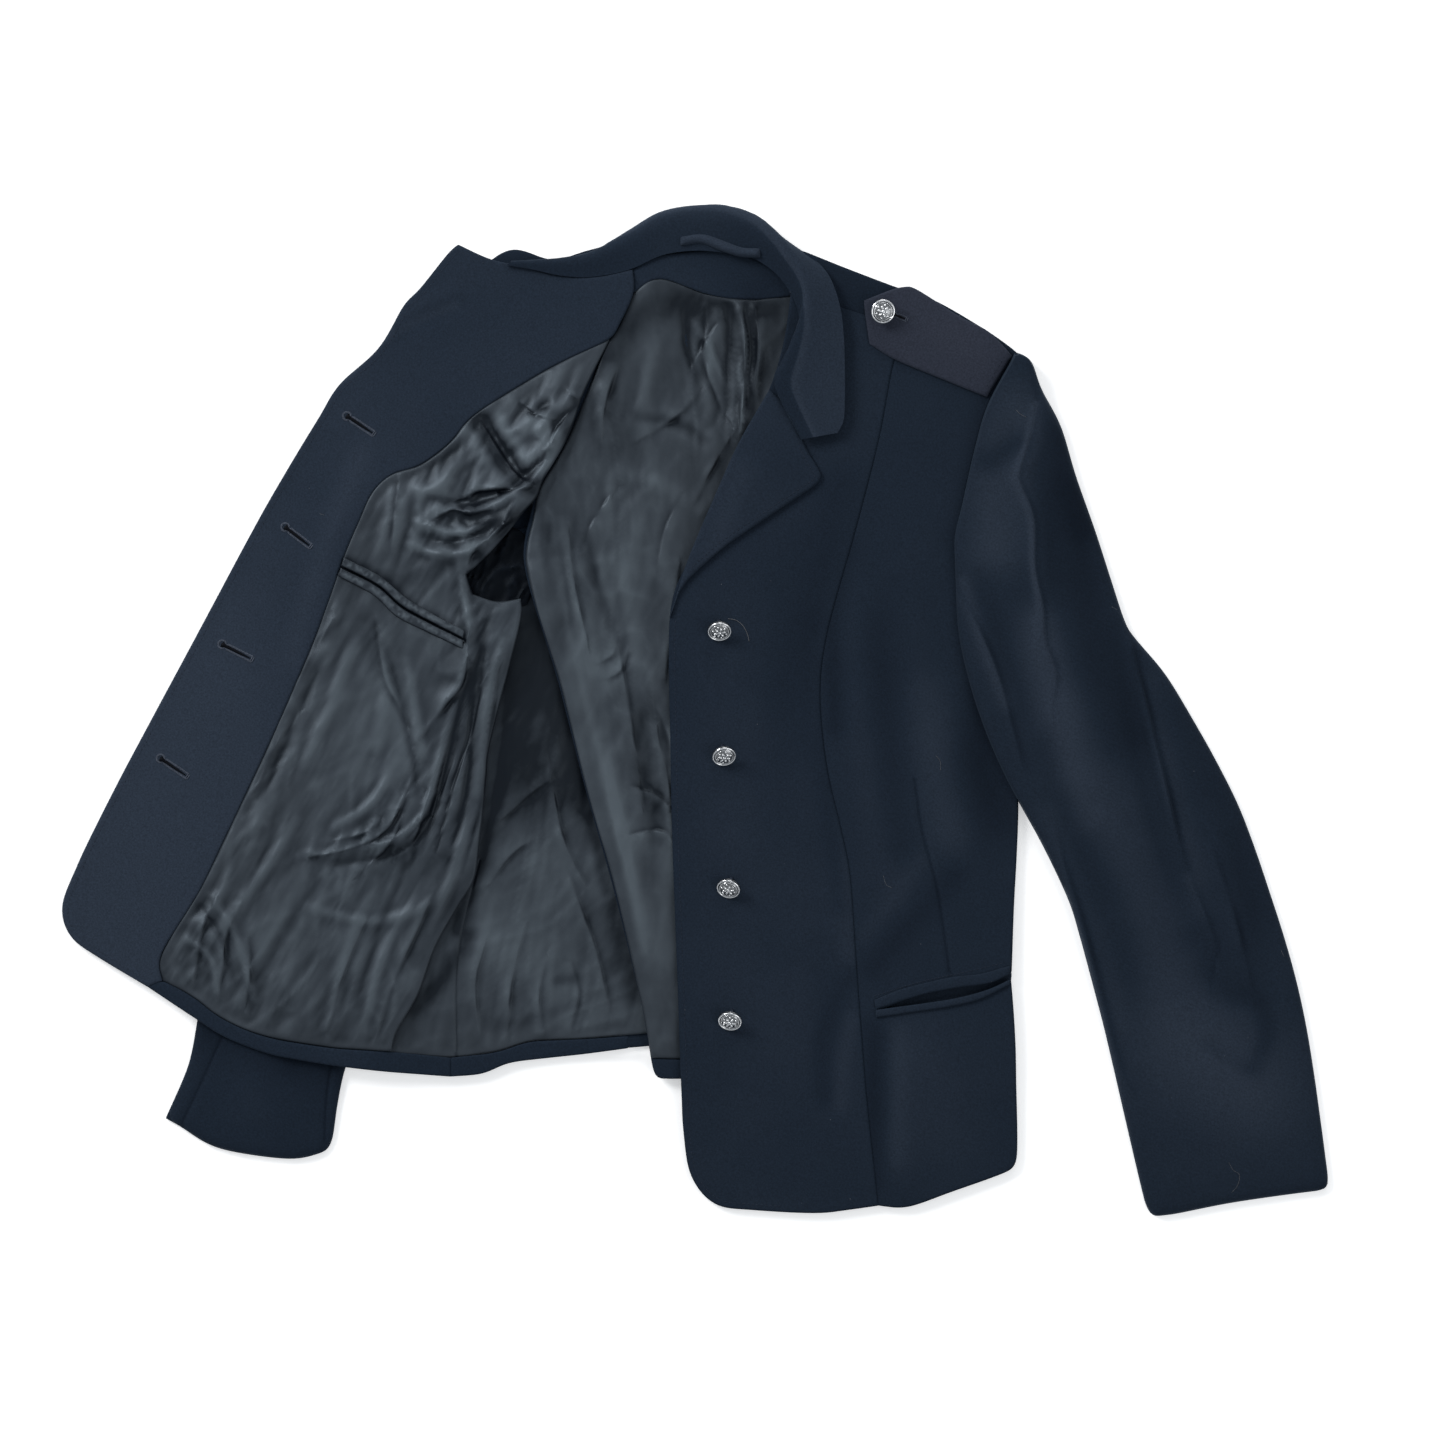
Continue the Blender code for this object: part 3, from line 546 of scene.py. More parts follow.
def cloth(node, material, slot, rests_on, wall=1.5, edge=(1.4, 0.6), meets=(), joined=(), puff=(0.0, 30.0),
          rounds=60, creases=(), lines=(), crumples=(), cut=None, tone_and_painted_light=0.0, tones=(), grain=0.0,
          spacing=SPACING, rings=RINGS, outward=0.25, soft=(), more=(), rim_painted_shade=0.0, lips=(), crinkles=(),
          relief_painted_light=0.0):
    """The sheet that stands for one solid."""
    name = node + "_cloth"
    upper = UPPER[node]
    loop = cut_line(node, spacing * 0.9, outward, soft, more)
    seams = [row[0] for row in [*lines, *lips]]
    points, faces = triangulate(loop, fill_points(loop, rings, spacing, seams))
    away, _ = distance_to(loop, points)
    z = np.array([upper.height(x, y) for x, y in points])
    z = spread(z, faces, rounds)
    z += puff[0] * (1 - np.exp(-away / puff[1]))
    settle = np.clip(away / EDGE_BAND, 0, 1)
    raised = crease_height(points, creases)
    z += raised * settle
    for row in crumples:
        z += crumple(points, *row) * settle
    # Painted light and shade: the piece's tone, the listed bands, and paler crests and darker troughs of the
    # creases
    shade = tone_and_painted_light + tone_at(points, tones) + np.clip(raised * CREASE_PAINTED_LIGHT, -CREASE_PAINTED_LIGHT_MOST, CREASE_PAINTED_LIGHT_MOST)
    # Painted shade along the cut edge
    shade -= rim_painted_shade * np.exp(-(away**2))
    plan = points
    if cut:
        flat_z = z
        plan, z = let_out(points, faces, z, away, cut)
        # Painted light and shade: paler where the let-out cloth rises in folds and darker where it sinks
        shade += np.clip((z - flat_z - FOLD_FLAT) * FOLD_PAINTED_LIGHT, *FOLD_PAINTED_LIGHT_RANGE)
    lifted, lip_painted_light = lip_height(points, lips)
    z += lifted * settle
    # Painted highlights on the crests of the lips and painted shade under them
    shade += lip_painted_light
    if crinkles:
        amount = 0.35 + (tone_at(points, cut[-1]) if cut else 0.3)
        for row in crinkles:
            z += crinkle(points, *row) * settle * amount
    # Painted shade in the hollows of the relief and painted highlight on its crests
    if relief_painted_light:
        shade += np.clip((z - spread(z, faces, RELIEF_PAINTED_LIGHT_ROUNDS)) * relief_painted_light, *RELIEF_PAINTED_LIGHT_RANGE)
    # Each sewn line sinks the cloth and has painted shade along it
    for route, width, depth in lines:
        from_line, _ = distance_to(through(np.array(route, float), LINE_STEP), points, closed=False)
        z -= depth * np.exp(-((from_line / width) ** 2))
        shade -= LINE_PAINTED_SHADE[1] * np.exp(-((from_line / LINE_PAINTED_SHADE[0]) ** 2))
    reach, drop = edge
    fall = round_over(away, reach)
    if meets:
        drop = np.maximum(z - bed_height(points, meets) - CLEAR, 0.0)
    if joined:
        from_seam, _ = distance_to(through(np.array(joined, float), ROUTE_STEP), points, closed=False)
        sewn = np.clip((SEWN_REACH - from_seam) / EDGE_BAND, 0, 1)
        z -= sewn * np.minimum(drop + SEAM_SINK, z - CLEAR) * round_over(away, SEAM_ROUND)
        fall = fall * (1 - sewn)
    z -= drop * fall
    mesh_points = np.column_stack([plan, z])
    obj = new_mesh_object(name, mesh_points, faces, grain)
    thicken(obj, wall, -1.0, material)
    tell_frame(obj, node, points)
    set_tone_and_painted_light(obj, shade, len(points))
    SKIN[name] = BVHTree.FromPolygons(mesh_points.tolist(), faces)


# %% [markdown]
# ## Wool twill
# The shell is a fine worsted twill: nearly black navy, matt, with a slight sheen. The diagonal wales are
# under a millimetre, so they are bump on the UV map, which follows the grain. Noise on Object coordinates
# gives the uneven dye and the lint. The attribute that the sheets carry paints light and shade into the
# colour: ridges are painted paler as highlight and hollows darker as shade.

# %% node helpers


def new_material(name, colour, roughness, metallic=0.0):
    """A material with a Principled shader; gives the material, its node tree and the shader."""
    mat = bpy.data.materials.new(name)
    mat.use_nodes = True
    shader = mat.node_tree.nodes["Principled BSDF"]
    shader.inputs["Base Color"].default_value = (*colour, 1.0)
    shader.inputs["Roughness"].default_value = roughness
    shader.inputs["Metallic"].default_value = metallic
    return mat, mat.node_tree, shader


def add(tree, kind, **values):
    """A node with its inputs and settings given by name; an output that is given is linked to the input."""
    node = tree.nodes.new(kind)
    for key, value in values.items():
        socket = key.replace("_", " ")
        if isinstance(value, bpy.types.NodeSocket):
            tree.links.new(value, node.inputs[socket])
        elif socket in node.inputs:
            node.inputs[socket].default_value = value
        else:
            setattr(node, key, value)
    return node


def maths(tree, operation, *terms):
    """An operation on numbers and outputs."""
    node = add(tree, "ShaderNodeMath", operation=operation)
    for socket, term in zip(node.inputs, terms):
        if isinstance(term, bpy.types.NodeSocket):
            tree.links.new(term, socket)
        else:
            socket.default_value = term
    return node.outputs[0]


def ramp(tree, source, stops):
    """A colour ramp from (place, colour) stops."""
    node = add(tree, "ShaderNodeValToRGB", Fac=source)
    elements = node.color_ramp.elements
    while len(elements) < len(stops):
        elements.new(0.5)
    for element, (place, colour) in zip(elements, stops):
        element.position = place
        element.color = (*colour, 1.0)
    return node.outputs["Color"]


def multiply(tree, a, b, factor):
    mix = add(tree, "ShaderNodeMix", data_type="RGBA", blend_type="MULTIPLY", Factor=factor, A=a, B=b)
    return mix.outputs["Result"]


def colour_by_painted_light(tree, painted_shade_colour, middle, painted_highlight_colour, source, swing):
    """A colour by the attribute of painted light and shade, from painted shade at -1 to painted highlight at
    1, unsettled by a noise.
    """
    attribute = add(tree, "ShaderNodeAttribute", attribute_name="tone_and_painted_light")
    shift = maths(tree, "MULTIPLY_ADD", source, swing, -0.5 * swing)
    total = maths(tree, "ADD", shift, attribute.outputs["Fac"])
    place = maths(tree, "MULTIPLY_ADD", total, 0.5, 0.5)
    return ramp(tree, place, [(0.0, painted_shade_colour), (0.5, middle), (1.0, painted_highlight_colour)])


# %% the wool
WALE = 0.0008
BANDS_A_METRE = 9.0
LINT = (0.09, 0.095, 0.11)
WHITE = (1.0, 1.0, 1.0)
BLACK = (0.0, 0.0, 0.0)


def wool(name, painted_shade_colour, middle, painted_highlight_colour, bloom):
    """Wool twill in three colours, for painted shade, the middle and painted highlight; bloom is the strength
    of its sheen.
    """
    mat, tree, shader = new_material(name, middle, 0.9)
    shader.inputs["Specular IOR Level"].default_value = 0.10
    shader.inputs["Sheen Weight"].default_value = bloom
    shader.inputs["Sheen Roughness"].default_value = 0.5
    shader.inputs["Sheen Tint"].default_value = (0.45, 0.65, 0.9, 1.0)
    place = add(tree, "ShaderNodeTexCoord")
    body = place.outputs["Object"]
    broad = add(tree, "ShaderNodeTexNoise", Vector=body, Scale=11.0, Detail=5.0, Roughness=0.62)
    tone_and_painted_light = colour_by_painted_light(tree, painted_shade_colour, middle, painted_highlight_colour, broad.outputs["Fac"], 0.6)
    nap = add(tree, "ShaderNodeTexNoise", Vector=body, Scale=850.0, Detail=3.0, Roughness=0.75)
    fleck = ramp(tree, nap.outputs["Fac"], [(0.32, (0.52, 0.52, 0.52)), (0.68, WHITE)])
    specks = add(tree, "ShaderNodeTexVoronoi", Vector=body, Scale=55.0, Randomness=1.0)
    lint = ramp(tree, specks.outputs["Distance"], [(0.010, WHITE), (0.020, BLACK)])
    lit = add(tree, "ShaderNodeMix", data_type="RGBA", Factor=lint, A=multiply(tree, tone_and_painted_light, fleck, 0.85),
              B=(*LINT, 1.0))
    tree.links.new(lit.outputs["Result"], shader.inputs["Base Color"])
    wales = add(tree, "ShaderNodeTexWave", wave_type="BANDS", bands_direction="DIAGONAL",
                Vector=place.outputs["UV"], Scale=1.0 / (WALE * BANDS_A_METRE), Distortion=0.6, Detail=1.0)
    twill = add(tree, "ShaderNodeBump", Height=wales.outputs["Fac"], Strength=0.4, Distance=0.00012)
    fuzz = add(tree, "ShaderNodeBump", Height=nap.outputs["Fac"], Normal=twill.outputs["Normal"],
               Strength=0.45, Distance=0.00018)
    tree.links.new(fuzz.outputs["Normal"], shader.inputs["Normal"])
    return mat


# Each wool is given its colour in painted shade, its middle colour, its colour in painted highlight and its
# sheen
WOOL = wool("wool_twill", (0.0042, 0.0084, 0.0165), (0.0112, 0.0190, 0.0325), (0.0255, 0.036, 0.055), 0.05)
WOOL_PRESSED = wool("wool_pressed", (0.014, 0.019, 0.029), (0.028, 0.033, 0.050), (0.044, 0.049, 0.068), 0.08)
print("wools:", WOOL.name, WOOL_PRESSED.name)

# %% [markdown]
# ## Satin lining
# Lining satin is smooth and slippery, so light gathers along its folds and leaves the hollows nearly black.
# Under a soft light most of that is painted into the colour, from painted shade in a hollow to painted
# highlight on a ridge. A middling roughness with some anisotropy adds the shine, and fine ridges and a bump
# across the grain break it up. The sleeve's lining is a darker copy, painted shade for the shadow in the
# armhole.

# %% the satin


def satin(name, painted_shade_colour, middle, painted_highlight_colour, roughness, glint):
    """Satin in painted shade, middle and painted highlight, with sharp small creases down the drape; glint is
    how much it reflects.
    """
    mat, tree, shader = new_material(name, middle, roughness)
    shader.inputs["Specular IOR Level"].default_value = glint
    shader.inputs["Specular Tint"].default_value = (0.72, 0.86, 1.0, 1.0)
    shader.inputs["Anisotropic"].default_value = 0.3
    shader.inputs["Sheen Weight"].default_value = 0.06
    shader.inputs["Sheen Roughness"].default_value = 0.3
    shader.inputs["Sheen Tint"].default_value = (0.6, 0.85, 1.0, 1.0)
    place = add(tree, "ShaderNodeTexCoord")
    drape = add(tree, "ShaderNodeMapping", Vector=place.outputs["UV"], Scale=(1.0, 0.22, 1.0))
    creases = add(tree, "ShaderNodeTexNoise", noise_type="RIDGED_MULTIFRACTAL", Scale=60.0, Detail=3.0,
                  Roughness=0.5, Distortion=0.9, Vector=drape.outputs["Vector"])
    broad = add(tree, "ShaderNodeTexNoise", Vector=place.outputs["Object"], Scale=26.0, Detail=4.0,
                Roughness=0.55)
    tone_and_painted_light = colour_by_painted_light(tree, painted_shade_colour, middle, painted_highlight_colour, broad.outputs["Fac"], 1.3)
    tree.links.new(tone_and_painted_light, shader.inputs["Base Color"])
    threads = add(tree, "ShaderNodeTexWave", wave_type="BANDS", bands_direction="X", Scale=700.0,
                  Distortion=1.5, Detail=2.0, Vector=place.outputs["UV"])
    weave = add(tree, "ShaderNodeBump", Height=threads.outputs["Fac"], Strength=0.12, Distance=0.0001)
    sharp = add(tree, "ShaderNodeBump", Height=creases.outputs["Fac"], Normal=weave.outputs["Normal"],
                Strength=0.5, Distance=0.0008)
    tree.links.new(sharp.outputs["Normal"], shader.inputs["Normal"])
    return mat


# Each satin is given its colour in painted shade, its middle colour and its colour in painted highlight. The
# sleeve's lining is a much darker copy, painted shade for the shadow inside the armhole.
SATIN = satin("satin_lining", (0.0010, 0.0019, 0.0042), (0.0300, 0.0365, 0.0450), (0.068, 0.083, 0.097),
              roughness=0.46, glint=0.30)
SATIN_PAINTED_SHADE = satin("satin_sleeve_lining_painted_shade", (0.0002, 0.0004, 0.0010), (0.0006, 0.0011, 0.0026),
                   (0.004, 0.006, 0.010), roughness=0.60, glint=0.1)
print("satins:", SATIN.name, SATIN_PAINTED_SHADE.name)

# %% [markdown]
# ## Shell pieces
# Body pieces are laid first. A tailored front is stiff with interlining, so it has few, broad undulations.
# The sleeves are soft tubes: their upper walls come down to the under walls at both edges. A table of light
# and shade painted on the cloth follows each piece: routes, how far they reach, and how much paler or darker
# the cloth is painted there.

# %% backs, sides and the pieces under the opened front
cloth("right_sleeve_under", WOOL, "wool_twill", "right_front")
# The upper right sleeve is given a darker tone, a band of painted shade and a patch of painted highlight
cloth("right_sleeve_upper", WOOL, "wool_twill", "right_sleeve_under_cloth",
      edge=(6.0, 1.0), meets=["right_sleeve_under"], puff=(1.5, 25.0), soft=[(-352, -273), (-250, -283)],
      tone_and_painted_light=-0.2, tones=[([(-330, -200), (-250, -230)], 22.0, -0.7), ([(-300, -268)], 30.0, 0.3)],
      lines=[([(-315, -217), (-330, -250), (-343, -277)], 1.1, 0.7),
             ([(-243, -237), (-246, -262), (-247, -288)], 1.1, 0.7)],
      creases=[([(-300, -200), (-296, -240), (-290, -280)], 14.0, 0.8),
               ([(-270, -215), (-266, -250)], 8.0, -0.9)])
cloth("right_side", WOOL, "wool_twill", "back_right")
cloth("back_right", WOOL, "wool_twill", "right_side_cloth")
cloth("back_left", WOOL, "wool_twill", "back_right_cloth")
cloth("right_front", WOOL, "wool_twill", "right_sleeve_upper_cloth", edge=(1.8, 1.0))

# %% left front with its side and shoulder
FRONT_CREASES = [
    ([(20, -60), (60, -120), (70, -240)], 26.0, 1.2),
    ([(50, 120), (70, 40), (60, -40)], 24.0, -1.2),
    ([(80, 70), (84, 0), (88, -70)], 10.0, -1.0),
    ([(92, -90), (98, -140), (104, -180)], 9.0, 1.1),
    ([(84, -150), (90, -210), (92, -270)], 12.0, -1.0),
    ([(10, 20), (40, -10), (70, -20)], 18.0, 0.7),
    ([(100, 240), (94, 160), (100, 100)], 24.0, 0.8),
]
# Light and shade painted on the left front: painted shade beside its seams and folds, painted highlight where
# they rise
FRONT_PAINTED_SHADING = [
    ([(104, -176), (92, -198), (84, -222), (86, -258)], 6.0, -0.3),
    ([(104, -206), (98, -236), (96, -262)], 6.0, 0.4),
    ([(64, 40), (52, -60), (56, -160)], 16.0, -0.15),
    ([(96, 150), (86, 100), (80, 60)], 14.0, -0.35),
    ([(88, 30), (90, -60), (96, -130)], 7.0, -0.35),
    ([(98, -60), (104, -120), (106, -160)], 8.0, 0.3),
    ([(30, 40), (34, -100), (40, -260)], 40.0, 0.12),
]
SIDE_CREASES = [
    ([(108, 70), (112, 0), (122, -70), (136, -140)], 13.0, 1.6),
    ([(130, 90), (132, 20), (142, -60)], 12.0, -1.4),
    ([(150, 170), (146, 100), (120, 30)], 22.0, 1.3),
    ([(168, 10), (166, -40), (176, -110)], 13.0, 1.3),
    ([(192, 20), (190, -40), (200, -110)], 12.0, -1.4),
    ([(140, -220), (142, -270), (136, -325)], 14.0, 1.2),
    ([(124, -215), (120, -270), (118, -320)], 9.0, -1.0),
]
# Light and shade painted on the side front along its folds, its dart and its pocket
SIDE_PAINTED_SHADING = [
    ([(172, -110), (146, -140), (118, -172)], 9.0, -0.45),
    ([(150, -100), (128, -130), (112, -150)], 7.0, 0.25),
    ([(122, -214), (122, -316)], 6.0, -0.3),
    ([(150, -214), (160, -250), (170, -290)], 24.0, 0.25),
    ([(100, 110), (91, 60), (93, -10)], 7.0, -0.55),
    ([(118, 60), (124, -20), (134, -90)], 12.0, -0.35),
    ([(152, 10), (158, -50), (168, -80)], 15.0, 0.4),
    ([(196, 30), (192, -30), (205, -70)], 16.0, -0.6),
    ([(150, 150), (140, 90)], 26.0, -0.15),
    ([(136, -215), (134, -300)], 7.0, 0.35),
    ([(116, -210), (113, -320)], 7.0, -0.35),
]
DART = [(146, -46), (151, -80), (160, -115), (165, -144), (169, -173)]
# The front and the side front get painted shade along their cut edges
cloth("left_front", WOOL, "wool_twill", "lining_back", edge=(1.3, 0.9), wall=2.0,
      creases=FRONT_CREASES, tones=FRONT_PAINTED_SHADING, soft=[(30, -318)], tone_and_painted_light=0.08, rim_painted_shade=0.35)
cloth("left_side_front", WOOL, "wool_twill", "back_left_cloth", edge=(1.3, 0.9),
      wall=2.0, rim_painted_shade=0.35, creases=SIDE_CREASES, tones=SIDE_PAINTED_SHADING, lines=[(DART, 1.1, 1.0)],
      soft=[(212, -308), (212, -290)], more=[((176, 116), 12.0, 1.5)])
cloth("left_shoulder", WOOL, "wool_twill", "back_left_cloth", edge=(2.4, 1.2),
      outward=1.2, tone_and_painted_light=-0.35)
# The lapel has a paler tone, a painted highlight along its roll and painted shade near the collar
cloth("left_lapel", WOOL, "wool_twill", "left_front_cloth", edge=(2.0, 1.1), wall=1.8,
      puff=(1.2, 20.0), soft=[(81, 145)], tone_and_painted_light=0.3,
      tones=[([(-2, 70), (14, 110), (30, 160)], 8.0, 0.25), ([(66, 160)], 22.0, -0.2)])

# %% left sleeve
SLEEVE_CREASES = [
    ([(230, 209), (226, 176), (216, 156), (221, 140), (226, 121), (228, 97), (231, 68), (233, 44), (239, 31)],
     6.0, 2.6),
    ([(216, 214), (208, 176), (206, 140), (210, 100)], 9.0, -1.4),
    ([(243, 190), (238, 150), (240, 100), (246, 60)], 9.0, -1.6),
    ([(174, 89), (185, 60), (197, 25), (211, -5)], 6.0, 2.2),
    ([(188, 96), (200, 60), (212, 22), (226, -16)], 7.0, -1.6),
    ([(289, 60), (299, 9), (309, -32), (326, -101), (343, -144)], 5.0, 2.2),
    ([(278, 62), (288, 20), (297, -30), (312, -90), (330, -140)], 8.0, -2.4),
    ([(250, 20), (268, -40), (290, -110), (320, -190)], 15.0, 2.0),
    ([(232, -10), (248, -70), (276, -140)], 9.0, -1.6),
    ([(262, -80), (285, -150), (300, -230)], 12.0, -1.4),
    ([(352, -80), (372, -150), (380, -200)], 12.0, -1.6),
    ([(340, -60), (354, -110), (366, -160)], 8.0, 1.4),
    ([(330, -170), (352, -190), (380, -196)], 9.0, -1.3),
    ([(255, 130), (262, 90), (272, 60)], 10.0, -1.2),
]
# Light and shade painted on the left sleeve: a narrow painted highlight along its ridge, painted shade beside
# its folds and under the shoulder, paler patches where they rise
SLEEVE_PAINTED_SHADING = [
    ([(377, -196), (380, -216), (372, -238)], 7.0, -0.6),
    ([(340, -222), (366, -238)], 5.0, -0.3),
    ([(236, -70), (262, -140), (284, -210)], 8.0, 0.25),
    ([(300, -60), (330, -160), (350, -240)], 40.0, 0.2),
    ([(226, 204), (221, 180), (213.5, 157), (215.5, 148), (223.5, 127), (224.5, 95), (229, 70), (231, 45),
      (238, 24)], 1.9, 1.1),
    ([(196, 166), (214, 178)], 9.0, -0.7),
    ([(240, 200), (246, 160), (258, 120)], 9.0, -0.5),
    ([(230, 60), (244, 10), (250, -40)], 14.0, 0.35),
    ([(214, 200), (204, 160), (200, 110)], 18.0, 0.9),
    ([(226, 40), (236, 0)], 20.0, 0.4),
    ([(250, 140), (262, 60), (284, -20)], 18.0, -0.5),
    ([(228, 60), (236, 20), (246, -20), (262, -70)], 12.0, 0.45),
    ([(292, 40), (304, -30), (326, -104)], 4.0, -0.5),
    ([(302, 20), (318, -50), (336, -110)], 8.0, 0.3),
    ([(330, 0), (350, -60), (370, -130)], 18.0, -0.35),
    ([(262, -60), (290, -130)], 24.0, 0.1),
    ([(336, -150), (362, -186)], 14.0, -0.45),
    ([(320, -215), (370, -250)], 40.0, 0.8),
    ([(178, 86), (190, 50), (206, 5)], 5.0, 0.4),
]
SLEEVE_LIPS = [
    ([(350, -170), (343, -144), (326, -101), (309, -32), (299, 10), (288, 54), (276, 96)], 8.0, 2.8),
    ([(238, -12), (238, 3), (240, 24), (233, 45), (231, 70), (226, 95), (225, 127), (217, 148), (215, 157),
      (222, 180), (226, 202), (222, 222)], 9.0, 1.8),
    ([(221, -44), (217, -33), (203, 20), (190, 52), (176, 77), (168, 92)], 7.0, 1.5),
    ([(296, -262), (283, -238), (268, -180), (256, -136), (245, -100), (240, -76)], 8.0, 1.6),
    ([(372, -190), (360, -140), (344, -90)], 8.0, 1.2),
    ([(352, -150), (346, -172), (344, -196)], 6.0, 1.0),
]
ARMHOLE_SEAM = [(213, 238), (195, 206), (186, 172), (178, 135), (174, 103)]
cloth("left_sleeve_under", WOOL, "wool_twill", "left_side_front_cloth",
      outward=0.0, soft=[(306, -336), (424, -320)])
cloth("left_sleeve_upper", WOOL, "wool_twill", "left_sleeve_under_cloth",
      edge=(7.0, 1.0), meets=["left_sleeve_under", "left_side_front", "left_shoulder"],
      joined=ARMHOLE_SEAM, puff=(3.0, 30.0), creases=SLEEVE_CREASES, tones=SLEEVE_PAINTED_SHADING,
      lips=SLEEVE_LIPS, grain=20.0, outward=0.8, spacing=2.8,
      soft=[(306, -336), (424, -320)], more=[((176, 116), 14.0, 2.0)])

# %% hip pocket and epaulette
POCKET_TRIM = dict(wall=1.2, edge=(1.4, 0.9), spacing=2.0, rings=(0.4, 1.0), rounds=20)
# Painted shade along the pocket's mouth, under its welts
cloth("pocket_bag", WOOL, "satin_lining", "left_side_front_cloth", wall=0.7, tone_and_painted_light=0.3,
      outward=1.2, more=[((206, -174), 8.0, 4.2)],
      tones=[([(130, -186), (165, -180), (205, -171)], 2.5, -0.7)])
cloth("pocket_welt_upper", WOOL, "wool_twill", "left_side_front_cloth",
      tone_and_painted_light=0.1, **POCKET_TRIM)
cloth("pocket_welt_lower", WOOL, "wool_twill", "left_side_front_cloth",
      tone_and_painted_light=0.2, **POCKET_TRIM)
cloth("epaulette", WOOL_PRESSED, "wool_twill", "left_shoulder_cloth", wall=2.2,
      edge=(1.6, 1.2), puff=(0.8, 12.0), soft=[(113, 258), (130, 282)], outward=0.4,
      creases=[([(150, 262), (180, 240), (205, 224)], 12.0, 0.7)])

# %% [markdown]
# ## The inside
# The facing continues the shell cloth inside the front edge. The lining is cut longer than the shell, so
# it lies in folds: large ones where the front is turned back, and small ones all over, mostly down the body.

# %% facings and hems
FACING_CREASES = [
    ([(-210, 240), (-180, 259), (-150, 273)], 5.0, -1.0),
    ([(-214, 250), (-184, 269), (-152, 284)], 6.0, 0.7),
    ([(-222, 170), (-245, 110), (-268, 37)], 9.0, 0.7),
    ([(-290, 60), (-330, -20), (-370, -100)], 24.0, 0.9),
    ([(-240, 190), (-280, 110)], 18.0, -0.7),
]
# Light and shade painted on the facing along its folds and its roll, and a paler tone towards its lower end
FACING_PAINTED_SHADING = [
    ([(-222, 170), (-245, 110), (-268, 37)], 9.0, 0.3),
    ([(-232, 222), (-214, 242), (-184, 260), (-160, 270)], 3.0, 0.5),
    ([(-390, -120), (-340, -170)], 120.0, 1.5),
    ([(-300, 60), (-330, -20)], 60.0, 0.2),
    ([(-160, 260), (-90, 280)], 40.0, -0.15),
    ([(-250, 200), (-330, 40)], 30.0, 0.15),
]
cloth("right_facing", WOOL, "wool_twill", "right_front_cloth", edge=(1.8, 1.0),
      wall=1.4, creases=FACING_CREASES, tones=FACING_PAINTED_SHADING, tone_and_painted_light=0.42, grain=-28.0)
# The neck facing has a painted highlight in its middle and painted shade under the collar's roll
cloth("neck_facing", WOOL, "wool_twill", "back_left_cloth", wall=1.3,
      tones=[([(-20, 284)], 24.0, 0.25), ([(36, 268), (46, 280)], 14.0, -0.5)])
for hem in ("hem_back", "hem_right_front", "hem_right_side"):
    cloth(hem, WOOL, "wool_twill", "right_side_cloth", wall=1.2, edge=(1.4, 0.9),
          spacing=2.4, rings=(0.5, 1.2), rounds=30)

